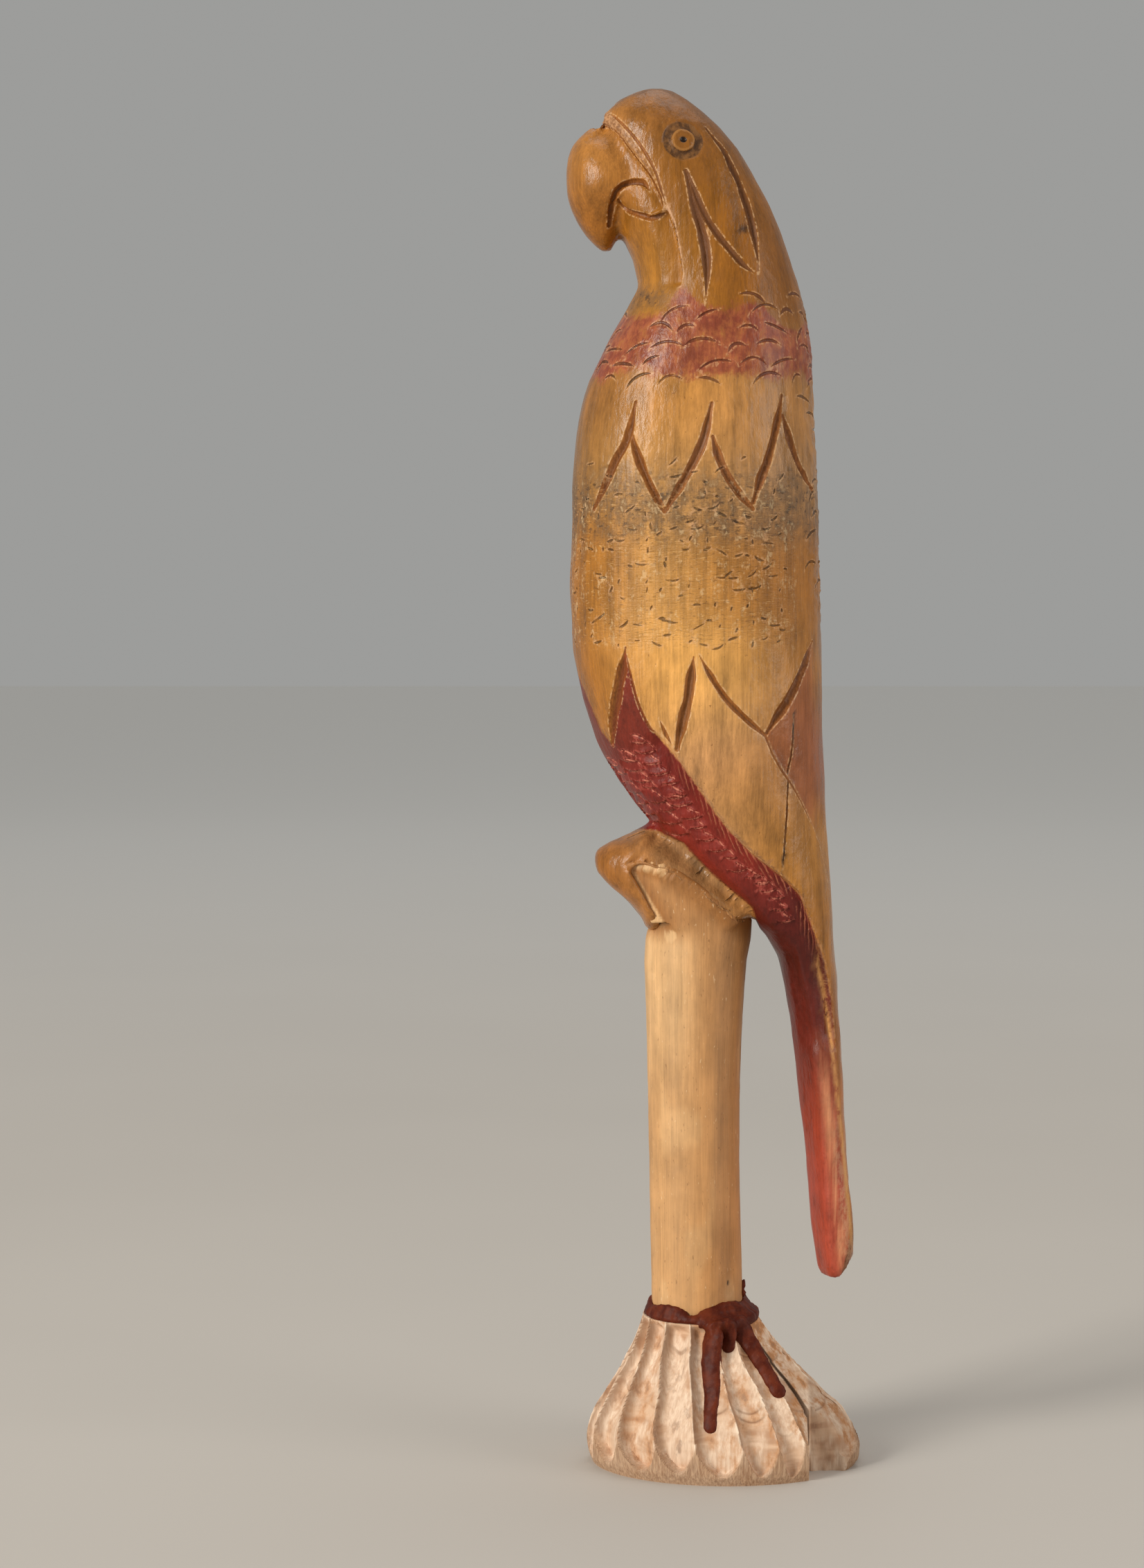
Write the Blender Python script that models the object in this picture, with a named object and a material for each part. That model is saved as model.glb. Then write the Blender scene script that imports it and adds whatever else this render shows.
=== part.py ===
"""A rattle carved as a parrot on its handle, set in a fluted wooden foot with brown glue.

The parrot looks along -X, its spine is at +X and +Z is up. The origin is on the handle's axis,
on the underside of the foot. Tables of sections are in millimetres, and mm() makes them metres.
"""

import math

import bmesh
import bpy
import numpy as np
from mathutils import Vector

# --- Driving dimensions, in millimetres ---------------------------------------------------------
HANDLE_RADIUS = 11.15  # where the handle leaves the foot
FOOT_HEIGHT = 36.5
FIT_GAP = 0.3  # between two pieces that meet
TENON_RADIUS = 8.7  # upper tenon, which closes the rattle chamber
TENON_TOP = 166.0
CHAMBER_RADIUS = TENON_RADIUS + FIT_GAP
CHAMBER_TOP = 256.0
DRILL_TIP = 5.0  # height of the cone that the drill leaves at the chamber's top
SPIGOT_RADIUS = 8.0  # lower tenon, in the foot's socket
TENON_ROOT = 100.0  # inner ends of the two tenons, inside the handle
SPIGOT_ROOT = 60.0
BELOW_FEET = 120.0  # where the cutters that come up into the parrot start
SOCKET_FLOOR = 15.0

SEED_RADIUS = 2.75
SEED_LAYERS = 3
SEEDS_ROUND_THE_MIDDLE = 6

FLUTES = 18
FLUTE_DEPTH = 1.5
# The drying crack seen from above: a slit from near the handle, and the corner lost at its mouth.
CRACK_OUTLINE = (
    (12.5, -4.8),
    (21.4, -8.9),
    (26.8, -13.2),
    (26.8, -32.0),
    (46.0, -32.0),
    (46.0, -11.8),
    (27.9, -12.0),
    (21.2, -7.9),
)

# Body, neck and head without the beak: height, front x, back x, half width, squareness.
TRUNK = (
    (46.2, 31.4, 36.0, 6.0, 2.6),
    (48.5, 30.4, 37.9, 7.4, 2.8),
    (53.0, 29.4, 38.9, 8.2, 3.0),
    (75.0, 27.4, 37.2, 9.4, 3.0),
    (90.0, 25.7, 36.2, 10.4, 3.0),
    (105.0, 23.9, 35.4, 11.6, 2.9),
    (118.0, 21.7, 34.5, 13.0, 2.7),
    (125.0, 20.2, 34.0, 14.2, 2.6),
    (131.0, 16.6, 33.5, 15.8, 2.5),
    (137.0, 10.6, 33.2, 17.6, 2.4),
    (145.0, 2.4, 32.7, 19.8, 2.3),
    (158.0, -10.8, 31.8, 22.6, 2.2),
    (168.0, -18.8, 31.3, 24.4, 2.2),
    (178.0, -24.2, 30.8, 25.6, 2.2),
    (188.0, -27.8, 30.7, 26.4, 2.2),
    (200.0, -30.1, 30.4, 26.9, 2.2),
    (216.0, -30.9, 29.9, 27.0, 2.2),
    (232.0, -30.5, 29.5, 26.6, 2.2),
    (247.0, -30.1, 28.9, 26.0, 2.2),
    (256.0, -29.0, 28.3, 25.2, 2.2),
    (265.0, -26.6, 27.9, 24.0, 2.2),
    (274.0, -22.4, 27.4, 22.6, 2.2),
    (282.0, -17.6, 26.2, 21.0, 2.2),
    (288.5, -14.4, 24.5, 19.8, 2.2),
    (295.0, -15.8, 22.3, 19.0, 2.3),
    (301.0, -18.8, 20.3, 18.4, 2.3),
    (308.0, -20.2, 17.2, 17.9, 2.3),
    (316.0, -21.2, 12.8, 17.0, 2.3),
    (322.0, -22.6, 9.0, 15.8, 2.3),
    (326.5, -23.4, 5.2, 14.2, 2.3),
    (330.0, -22.9, 1.4, 12.0, 2.3),
    (333.0, -19.4, -2.4, 8.8, 2.2),
    (335.0, -15.4, -5.6, 5.4, 2.1),
    (335.9, -12.6, -8.6, 2.4, 2.0),
)
TRUNK_STEP = 6.0  # height between two rings of the trunk
TRUNK_SIDES = 36

# Beak: height, front x, back x, half width, squareness. Its back end lies inside the head.
BEAK = (
    (327.0, -25.2, -16.0, 4.0, 2.0),
    (325.2, -27.6, -13.0, 6.6, 2.0),
    (322.5, -30.2, -10.0, 9.4, 2.1),
    (318.0, -31.8, -7.5, 11.8, 2.2),
    (313.5, -32.0, -7.0, 12.8, 2.2),
    (310.5, -31.8, -9.5, 12.2, 2.2),
    (307.5, -31.1, -14.5, 10.2, 2.1),
    (304.0, -29.5, -17.6, 8.2, 2.0),
    (300.5, -27.2, -19.0, 6.0, 2.0),
    (298.0, -24.7, -20.4, 3.8, 2.0),
    (296.8, -23.0, -21.2, 1.8, 2.0),
)
BEAK_SIDES = 24

# Feet under the belly: x, lowest z, highest z, half width. The handle's stub is cut out of them.
FEET = (
    (-24.9, 147.4, 150.2, 2.6),
    (-24.1, 145.6, 151.6, 5.4),
    (-21.5, 142.8, 153.2, 8.8),
    (-17.0, 138.9, 155.0, 11.6),
    (-13.2, 134.6, 157.0, 13.0),
    (-12.2, 132.0, 157.2, 13.3),
    (-8.0, 131.6, 156.5, 14.0),
    (-2.0, 132.2, 151.5, 14.3),
    (4.0, 132.4, 146.5, 14.2),
    (9.0, 132.4, 142.0, 13.6),
    (12.5, 134.0, 139.5, 12.0),
)
FEET_SIDES = 24

# Outline in X and Z of the handle's stub, which the feet grip.
STUB_OUTLINE = (
    (14.0, 131.4),
    (9.2, 134.0),
    (4.5, 137.9),
    (-0.9, 142.3),
    (-6.3, 145.9),
    (-9.8, 147.4),
    (-13.1, 148.2),
    (-17.2, 148.4),
    (-14.7, 144.3),
    (-12.1, 139.8),
    (-8.4, 133.6),
    (-8.4, 131.0),
)

# Handle above its shoulder: height, front x, back x, half width, squareness.
HANDLE = (
    (FOOT_HEIGHT + FIT_GAP, -10.6, 11.7, HANDLE_RADIUS, 2.0),
    (60.0, -11.0, 11.2, 11.1, 2.0),
    (90.0, -11.5, 10.8, 11.2, 2.0),
    (113.0, -12.2, 11.6, 11.9, 2.0),
    (124.0, -12.6, 12.3, 12.4, 2.0),
    (131.0, -12.2, 13.6, 12.8, 2.0),
    (141.0, -16.2, 15.0, 13.0, 2.2),
    (151.0, -20.0, 15.0, 13.2, 2.3),
)
HANDLE_SIDES = 32

# Foot: height, left x, right x, half width.
FOOT = (
    (0.0, -25.4, 39.8, 25.8),
    (3.0, -26.5, 40.8, 27.0),
    (8.0, -26.7, 40.0, 27.2),
    (13.0, -25.2, 36.4, 25.8),
    (21.0, -20.2, 28.2, 21.6),
    (29.0, -15.9, 20.6, 17.2),
    (FOOT_HEIGHT, -12.9, 15.4, 13.8),
)

# Glue collar: height, left x, right x, half width, squareness.
COLLAR = (
    (35.2, -12.3, 14.8, 13.2, 2.0),
    (38.4, -12.9, 15.8, 14.0, 2.0),
    (40.2, -12.3, 14.4, 13.0, 2.0),
    (41.4, -11.7, 12.8, 12.2, 2.0),
)
# Runs of glue down the foot: angle at the top and at the end in degrees, end height, half width.
GLUE_RUNS = (
    (-81.0, -96.0, 12.3, 2.0),
    (-64.0, -73.0, 29.6, 1.7),
    (-49.0, -48.0, 19.2, 1.8),
    (-18.0, -14.0, 32.5, 3.0),
)

# --- Colours: base colour, roughness ------------------------------------------------------------
PARROT_WOOD = ((0.50, 0.26, 0.07), 0.42)
HANDLE_WOOD = ((0.58, 0.34, 0.13), 0.50)
FOOT_WOOD = ((0.50, 0.34, 0.22), 0.80)
GLUE_BROWN = ((0.16, 0.035, 0.015), 0.30)
SEED_BLACK = ((0.030, 0.020, 0.015), 0.45)


def mm(*values):
    """A point given in millimetres, as a Vector in metres."""
    return Vector(values) * 0.001


def material(name, look):
    colour, roughness = look
    made = bpy.data.materials.new(name)
    made.use_nodes = True
    shader = made.node_tree.nodes["Principled BSDF"]
    shader.inputs["Base Color"].default_value = (*colour, 1.0)
    shader.inputs["Roughness"].default_value = roughness
    shader.inputs["Metallic"].default_value = 0.0
    return made


def add_object(name, mesh, look=None, smooth_angle=40.0):
    """The object for a mesh: a visible piece if it has a look, or else a hidden cutter or blank."""
    mesh.shade_smooth()
    mesh.set_sharp_from_angle(angle=math.radians(smooth_angle))
    made = bpy.data.objects.new(name, mesh)
    bpy.context.scene.collection.objects.link(made)
    if look:
        mesh.materials.append(material(name, look))
    else:
        made.hide_render = True
        made.display_type = "WIRE"
    return made


def between(stations, height):
    """The row of a section table at a height, on a smooth curve through the given rows."""
    table = np.array(stations, float)
    order = table[:, 0].argsort()
    table = table[order]
    slopes = np.gradient(table, table[:, 0], axis=0)
    k = int(np.clip(np.searchsorted(table[:, 0], height) - 1, 0, len(table) - 2))
    low, high = table[k], table[k + 1]
    span = high[0] - low[0]
    t = (height - low[0]) / span
    row = (2 * t**3 - 3 * t**2 + 1) * low + (3 * t**2 - 2 * t**3) * high
    row += (t**3 - 2 * t**2 + t) * span * slopes[k] + (t**3 - t**2) * span * slopes[k + 1]
    row[0] = height
    return row


def heights_of(stations, step):
    """The heights of a section table's rows, with more between them about a step apart."""
    rows = sorted(row[0] for row in stations)
    heights = [rows[0]]
    for low, high in zip(rows, rows[1:]):
        parts = max(1, round((high - low) / step))
        heights += [low + (high - low) * (i + 1) / parts for i in range(parts)]
    return heights


def section(low, high, half_width, squareness, sides):
    """(along, across) points of a rounded section from low to high, by a superellipse."""
    middle, half = (low + high) / 2, (high - low) / 2
    points = []
    for i in range(sides):
        angle = 2 * math.pi * i / sides
        c, s = math.cos(angle), math.sin(angle)
        along = math.copysign(abs(c) ** (2 / squareness), c)
        across = math.copysign(abs(s) ** (2 / squareness), s)
        points.append((middle + half * along, half_width * across))
    return points


def loft(name, rings):
    """A closed mesh through rings of points, with a face on each end."""
    bm = bmesh.new()
    loops = [[bm.verts.new(p) for p in ring] for ring in rings]
    for low, high in zip(loops, loops[1:]):
        for i, corner in enumerate(low):
            j = (i + 1) % len(low)
            bm.faces.new((corner, low[j], high[j], high[i]))
    bm.faces.new(reversed(loops[0]))
    bm.faces.new(loops[-1])
    bmesh.ops.recalc_face_normals(bm, faces=bm.faces)
    mesh = bpy.data.meshes.new(name)
    bm.to_mesh(mesh)
    bm.free()
    return mesh


def standing_loft(name, stations, step, sides):
    """A loft through horizontal sections."""
    rings = []
    for z in heights_of(stations, step):
        _, front, back, half_width, squareness = between(stations, z)
        flat = section(front, back, half_width, squareness, sides)
        rings.append([mm(x, y, z) for x, y in flat])
    return loft(name, rings)


def cylinder(name, radius, bottom, top, sides=30, tip=0.0):
    """An upright cylinder round the handle's axis, with a cone of height tip on its top."""
    rows = [(bottom, radius), (top, radius)]
    if tip:
        rows.append((top + tip, 0.15 * radius))
    rings = []
    for z, r in rows:
        angles = (2 * math.pi * i / sides for i in range(sides))
        rings.append([mm(r * math.cos(a), r * math.sin(a), z) for a in angles])
    return loft(name, rings)


def prism(name, outline, reach):
    """An outline in X and Z, made solid from -reach to +reach along Y."""
    return loft(name, [[mm(x, y, z) for x, z in outline] for y in (-reach, reach)])


def grown(outline, distance):
    """A closed outline with each side moved outwards by a distance."""
    area = sum(a[0] * b[1] - b[0] * a[1] for a, b in zip(outline, outline[1:] + outline[:1]))
    turn = 1 if area > 0 else -1
    result = []
    for i, here in enumerate(outline):
        before = Vector(here) - Vector(outline[i - 1])
        after = Vector(outline[(i + 1) % len(outline)]) - Vector(here)
        normals = [Vector((d.y, -d.x)).normalized() * turn for d in (before, after)]
        corner = normals[0] + normals[1]
        result.append(Vector(here) + corner * (distance / corner.dot(normals[0])))
    return [tuple(p) for p in result]


def boolean(target, operation, other):
    modifier = target.modifiers.new(f"{operation.lower()}_{other.name}", "BOOLEAN")
    modifier.operation = operation
    modifier.solver = "EXACT"
    modifier.object = other


def parrot():
    """The carved bird with its feet, hollowed from below into a rattle chamber."""
    bird = add_object(
        "parrot_body", standing_loft("parrot_body", TRUNK, TRUNK_STEP, TRUNK_SIDES), PARROT_WOOD
    )
    beak = add_object("beak_blank", standing_loft("beak_blank", BEAK, 3.0, BEAK_SIDES))
    rings = []
    for x, low, high, half_width in FEET:
        flat = section(low, high, half_width, 2.5, FEET_SIDES)
        rings.append([mm(x, y, z) for z, y in flat])
    feet = add_object("feet_blank", loft("feet_blank", rings))
    below = [(-14.0, 131.0), (-14.0, BELOW_FEET), (14.0, BELOW_FEET)]
    stub_room = grown(list(STUB_OUTLINE) + below, FIT_GAP)
    notch = add_object("stub_cutter", prism("stub_cutter", stub_room, 22.0))
    bore = add_object(
        "chamber_cutter", cylinder("chamber_cutter", CHAMBER_RADIUS, BELOW_FEET, CHAMBER_TOP, tip=DRILL_TIP)
    )
    boolean(feet, "DIFFERENCE", notch)
    boolean(bird, "UNION", beak)
    boolean(bird, "UNION", feet)
    boolean(bird, "DIFFERENCE", bore)
    return bird


def roomier(stations, gap):
    """A section table with each section moved outwards by a gap."""
    return [(z, low - gap, high + gap, half + gap, n) for z, low, high, half, n in stations]


def handle():
    """The handle: a spigot for the foot, the grip, and a stub and tenon for the parrot."""
    shaft = add_object("handle", standing_loft("handle", HANDLE, 12.0, HANDLE_SIDES), HANDLE_WOOD)
    below = [(-30.0, 131.0), (-30.0, 20.0), (30.0, 20.0), (30.0, 131.4)]
    keep = add_object("stub_keeper", prism("stub_keeper", list(STUB_OUTLINE) + below, 24.0))
    tenon = add_object("tenon_blank", cylinder("tenon_blank", TENON_RADIUS, TENON_ROOT, TENON_TOP))
    spigot = add_object(
        "spigot_blank", cylinder("spigot_blank", SPIGOT_RADIUS, SOCKET_FLOOR + FIT_GAP, SPIGOT_ROOT)
    )
    boolean(shaft, "INTERSECT", keep)
    boolean(shaft, "UNION", tenon)
    boolean(shaft, "UNION", spigot)
    return shaft


def foot_mesh(name, grow=0.0):
    """The fluted foot as a mesh, with its whole surface moved outwards by grow."""
    sides_per_flute = 4
    sides = FLUTES * sides_per_flute
    table = [(*row, 2.0) for row in FOOT]
    rings = []
    for z in heights_of(table, 5.0):
        _, left, right, half_width, _ = between(table, z)
        fade = min(1.0, (z + 1.0) / 5.0, (FOOT_HEIGHT + 4.0 - z) / 8.0)
        middle, half = (left + right) / 2, (right - left) / 2
        lift = grow if z == FOOT_HEIGHT else 0.0
        ring = []
        for i in range(sides):
            angle = 2 * math.pi * i / sides
            across = 2 * (i % sides_per_flute) / sides_per_flute - 1
            dip = grow - FLUTE_DEPTH * fade * (1 - across**2)
            x = middle + (half + dip) * math.cos(angle)
            y = (half_width + dip) * math.sin(angle)
            ring.append(mm(x, y, z + lift))
        rings.append(ring)
    return loft(name, rings)


def foot():
    """The fluted foot, with its socket and the drying crack that opens to its rim."""
    block = add_object("foot", foot_mesh("foot"), FOOT_WOOD, smooth_angle=25.0)
    socket = add_object(
        "socket_cutter",
        cylinder("socket_cutter", SPIGOT_RADIUS + FIT_GAP, SOCKET_FLOOR, FOOT_HEIGHT + 5.0),
    )
    rings = [[mm(x, y, z) for x, y in CRACK_OUTLINE] for z in (-2.0, FOOT_HEIGHT + 2.0)]
    crack = add_object("crack_cutter", loft("crack_cutter", rings))
    boolean(block, "DIFFERENCE", socket)
    boolean(block, "DIFFERENCE", crack)
    return block


def glue():
    """The bead of glue round the handle's foot, with the runs that set on the flutes."""
    bead = add_object("glue_collar", standing_loft("glue_collar", COLLAR, 2.0, 40), GLUE_BROWN)
    for number, run in enumerate(GLUE_RUNS, 1):
        blank = add_object(f"run_blank_{number}", run_mesh(f"run_blank_{number}", *run))
        boolean(bead, "UNION", blank)
    foot_room = add_object("foot_room", foot_mesh("foot_room", grow=FIT_GAP))
    around = [(FOOT_HEIGHT - 3.0, *HANDLE[0][1:]), *HANDLE[1:3]]
    handle_room = add_object(
        "handle_room", standing_loft("handle_room", roomier(around, FIT_GAP), 12.0, HANDLE_SIDES)
    )
    boolean(bead, "DIFFERENCE", foot_room)
    boolean(bead, "DIFFERENCE", handle_room)
    return bead


def run_mesh(name, top_degrees, end_degrees, lowest, half_width):
    """One run of glue: a flat rod from the collar down the foot's side, half sunk in it."""
    table = [(*row, 2.0) for row in FOOT]
    top = FOOT_HEIGHT + 1.8
    steps = 7
    rings = []
    for step in range(steps + 1):
        share = step / steps
        z = top + (lowest - top) * share
        angle = math.radians(top_degrees + (end_degrees - top_degrees) * share)
        _, left, right, half_depth, _ = between(table, min(z, FOOT_HEIGHT))
        middle, half = (left + right) / 2, (right - left) / 2
        outward = Vector((math.cos(angle), math.sin(angle), 0.5)).normalized()
        across = Vector((-math.sin(angle), math.cos(angle), 0.0))
        centre = Vector((middle + half * math.cos(angle), half_depth * math.sin(angle), z))
        centre -= outward * 0.6
        size = 0.6 if step == steps else 1.0
        ring = []
        for i in range(12):
            turn = 2 * math.pi * i / 12
            sideways = across * half_width * size * math.cos(turn)
            ring.append(mm(*(centre + sideways + outward * 1.8 * size * math.sin(turn))))
        rings.append(ring)
    return loft(name, rings)


def seeds():
    """The seeds in upright columns on the tenon: one in the middle and a ring round it."""
    pitch = 2 * SEED_RADIUS + FIT_GAP
    columns = [(0.0, 0.0)]
    for i in range(SEEDS_ROUND_THE_MIDDLE):
        angle = 2 * math.pi * i / SEEDS_ROUND_THE_MIDDLE
        columns.append((pitch * math.cos(angle), pitch * math.sin(angle)))
    bm = bmesh.new()
    bmesh.ops.create_icosphere(bm, subdivisions=2, radius=SEED_RADIUS * 0.001)
    shape = bpy.data.meshes.new("seed")
    bm.to_mesh(shape)
    bm.free()
    for column, (x, y) in enumerate(columns, 1):
        for layer in range(SEED_LAYERS):
            name = f"seed_{column}_{layer + 1}"
            seed = add_object(name, shape.copy(), SEED_BLACK)
            seed.location = mm(x, y, TENON_TOP + FIT_GAP + SEED_RADIUS + pitch * layer)


def main():
    for old in list(bpy.data.objects):
        bpy.data.objects.remove(old)
    parrot()
    handle()
    foot()
    glue()
    seeds()


main()
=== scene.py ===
"""Looks of the carved parrot rattle: knife-cut wood with stains and scratches, a raw gouged foot
and dried glue.

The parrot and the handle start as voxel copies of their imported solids, the foot as a grid laid
round its rings, and the glue as balls that are melted together. The points are then moved in numpy,
in millimetres, by distances to named lines, and the same distances go to the materials as
attributes. A line is a row of (x, z) points on the bird's side, and is used on both sides.
"""

import math

import bmesh
import bpy
import numpy as np
from mathutils import Matrix, Vector
from mathutils.bvhtree import BVHTree


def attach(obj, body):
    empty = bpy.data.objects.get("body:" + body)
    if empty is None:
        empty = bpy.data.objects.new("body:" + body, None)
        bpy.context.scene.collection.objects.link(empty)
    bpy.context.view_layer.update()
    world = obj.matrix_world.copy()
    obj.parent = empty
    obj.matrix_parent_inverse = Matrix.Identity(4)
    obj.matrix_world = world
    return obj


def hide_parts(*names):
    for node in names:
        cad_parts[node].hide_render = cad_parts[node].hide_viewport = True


MM = 0.001
# How far out rays start, in mm: beside the bird, round it, and beside the foot.
BESIDE_BIRD = 80
ROUND_BIRD = 90
BESIDE_FOOT = 60
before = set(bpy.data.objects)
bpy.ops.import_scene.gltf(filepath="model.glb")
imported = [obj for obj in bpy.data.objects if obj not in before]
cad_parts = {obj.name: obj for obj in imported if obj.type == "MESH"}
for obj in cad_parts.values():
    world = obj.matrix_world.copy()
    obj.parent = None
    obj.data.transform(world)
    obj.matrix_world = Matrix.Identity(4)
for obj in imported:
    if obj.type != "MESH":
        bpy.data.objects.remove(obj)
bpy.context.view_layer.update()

# --- Lines on the parrot: (x, z) points from the head down --------------------------------------
EYE = (-4.0, 321.9)
FRECKLE = (10.5, 300.8)
CERE_FRONT = ((-24.4, 327.6), (-20.7, 324.4), (-17.4, 320.0), (-14.2, 315.7), (-11.7, 311.9), (-8.8, 305.2))
CERE_BACK = ((-23.2, 331.0), (-18.3, 325.8), (-14.2, 320.6), (-10.9, 314.7), (-9.3, 309.7), (-7.6, 304.8))
THROAT_EDGE = ((-8.0, 305.6), (-6.5, 300.7), (-5.3, 295.1), (-4.5, 290.0), (-4.7, 286.8))
MANDIBLE_TOP = (
    (-21.4, 302.5), (-20.9, 307.0), (-19.6, 310.4), (-16.6, 312.2), (-13.6, 312.1), (-11.6, 309.6),
)
MANDIBLE_LOW = ((-19.4, 308.4), (-17.4, 305.9), (-13.6, 304.0), (-10.4, 303.2), (-7.4, 303.8))
CHEEK_FRONT = (
    (-3.5, 314.2), (-2.6, 310.4), (-1.4, 305.5), (0.1, 300.6), (1.2, 295.0), (1.5, 289.1), (1.0, 282.0),
)
LEAF_FRONT = ((-3.2, 313.6), (0.1, 305.5), (3.0, 300.6), (6.0, 296.8), (10.1, 292.1), (13.9, 289.4))
LEAF_BACK = (
    (1.4, 325.0), (3.7, 322.0), (5.5, 319.7), (7.8, 315.0), (9.3, 311.8), (12.4, 301.7), (14.0, 290.6),
)

# Feather cuts, each from its peak down, with its width in mm.
UPPER_CUTS = (
    ((-15.4, 259.6), (-16.4, 254.7), (-17.8, 249.8), (-20.3, 245.4), (-22.9, 239.2), (-25.2, 234.3)),
    ((-16.4, 252.2), (-15.4, 248.1), (-13.0, 241.8), (-10.2, 236.3), (-8.6, 233.6)),
    ((2.5, 259.1), (1.5, 254.5), (-0.1, 248.8), (-3.5, 242.1), (-6.6, 236.9), (-8.2, 234.1)),
    ((2.7, 251.2), (4.2, 246.3), (6.5, 241.5), (9.4, 237.4), (12.3, 234.2)),
    ((19.4, 261.2), (18.5, 255.6), (16.5, 248.1), (14.1, 241.2), (12.4, 235.8)),
    ((19.7, 256.4), (21.3, 251.2), (23.9, 244.2), (27.3, 238.9)),
)
LOWER_CUTS = (
    ((-17.8, 201.4), (-18.6, 196.4), (-19.6, 190.6), (-20.7, 183.9), (-20.8, 177.9)),
    ((-17.8, 200.6), (-16.5, 194.8), (-14.7, 188.2), (-12.0, 182.5), (-8.4, 178.4)),
    ((-1.7, 199.3), (-2.3, 194.9), (-3.1, 189.2), (-4.4, 183.4), (-5.5, 177.3)),
    ((-0.4, 199.7), (2.0, 195.3), (5.9, 189.5), (10.4, 184.9), (15.6, 180.5)),
    ((27.3, 202.7), (24.9, 196.3), (21.7, 190.1), (18.3, 184.9), (16.0, 181.2)),
)
NICK = ((-9.9, 185.0), (-8.4, 181.2), (-6.3, 177.6))
CRACK = ((22.4, 186.8), (22.1, 176.2), (21.3, 170.3), (20.5, 155.5), (19.8, 147.0))
BACK_EDGE = ((15.6, 180.2), (19.0, 173.8), (22.7, 168.2), (27.2, 159.9), (30.2, 152.2), (31.6, 144.0))
WING_EDGE = (
    (-12.0, 182.5), (-8.1, 178.4), (-5.0, 174.3), (-0.2, 167.5), (5.7, 159.0), (12.5, 151.9),
    (19.6, 146.5), (24.4, 141.6), (27.8, 132.9), (30.5, 125.6), (32.6, 114.7), (33.6, 102.7),
)
STRIP_LOW = ((-10.0, 156.7), (-3.6, 153.9), (2.3, 147.5), (7.2, 143.2), (12.9, 138.6), (15.5, 131.3))
TOE_EDGE = ((-14.9, 145.6), (-12.3, 140.4), (-9.2, 134.6))
LEG_EDGE = (
    (-17.2, 148.8), (-13.1, 148.6), (-9.8, 147.8), (-6.3, 146.3), (-0.9, 142.7), (4.5, 138.3), (9.4, 134.4),
)


# --- Meshes as arrays ---------------------------------------------------------------------------
def add_object(name, data):
    made = bpy.data.objects.new(name, data)
    bpy.context.scene.collection.objects.link(made)
    return made


def remeshed(mesh, voxel):
    """Points and triangles of a mesh remeshed into even cells."""
    work = add_object("work", mesh)
    remesh = work.modifiers.new("voxels", "REMESH")
    remesh.mode = "VOXEL"
    remesh.voxel_size = voxel
    done = arrays_of(work)
    bpy.data.objects.remove(work)
    return done


def voxel_copy(name, voxel):
    """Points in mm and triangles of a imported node, remeshed."""
    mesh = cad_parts[name].data.copy()
    mesh.transform(Matrix.Scale(1 / MM, 4))
    return remeshed(mesh, voxel)


def mesh_of(bm, name):
    mesh = bpy.data.meshes.new(name)
    bm.to_mesh(mesh)
    bm.free()
    return mesh


def surface_of(points, tris):
    """A tree for casting rays at a mesh."""
    return BVHTree.FromPolygons(points.tolist(), tris.tolist())


def arrays_of(obj):
    """Points and triangles of an object's evaluated mesh."""
    graph = bpy.context.evaluated_depsgraph_get()
    mesh = bpy.data.meshes.new_from_object(obj.evaluated_get(graph))
    mesh.calc_loop_triangles()
    points = np.empty(len(mesh.vertices) * 3)
    mesh.vertices.foreach_get("co", points)
    tris = np.empty(len(mesh.loop_triangles) * 3, np.int32)
    mesh.loop_triangles.foreach_get("vertices", tris)
    bpy.data.meshes.remove(mesh)
    return points.reshape(-1, 3), tris.reshape(-1, 3)


def edges_of(tris):
    ends = np.sort(np.concatenate([tris[:, [0, 1]], tris[:, [1, 2]], tris[:, [2, 0]]]), axis=1)
    return np.unique(ends, axis=0, return_inverse=True)


def smoothed(points, tris, rounds, share=1.0):
    """Taubin smoothing, which rounds off steps and keeps the volume."""
    edges, _ = edges_of(tris)
    ends = np.concatenate([edges, edges[:, ::-1]])
    count = np.bincount(ends[:, 0], minlength=len(points))
    points = points.copy()
    for factor in (0.55, -0.57) * rounds:
        total = [np.bincount(ends[:, 0], points[ends[:, 1], k], len(points)) for k in range(3)]
        mean = np.stack(total, axis=1) / count[:, None]
        points += factor * (mean - points) * np.reshape(share, (-1, 1))
    return points


def normals_of(points, tris):
    a, b, c = points[tris[:, 0]], points[tris[:, 1]], points[tris[:, 2]]
    face = np.cross(b - a, c - a)
    corners = range(3)
    total = [sum(np.bincount(tris[:, k], part, len(points)) for k in corners) for part in face.T]
    total = np.stack(total, axis=1)
    return total / np.maximum(np.linalg.norm(total, axis=1, keepdims=True), 1e-9)


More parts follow.
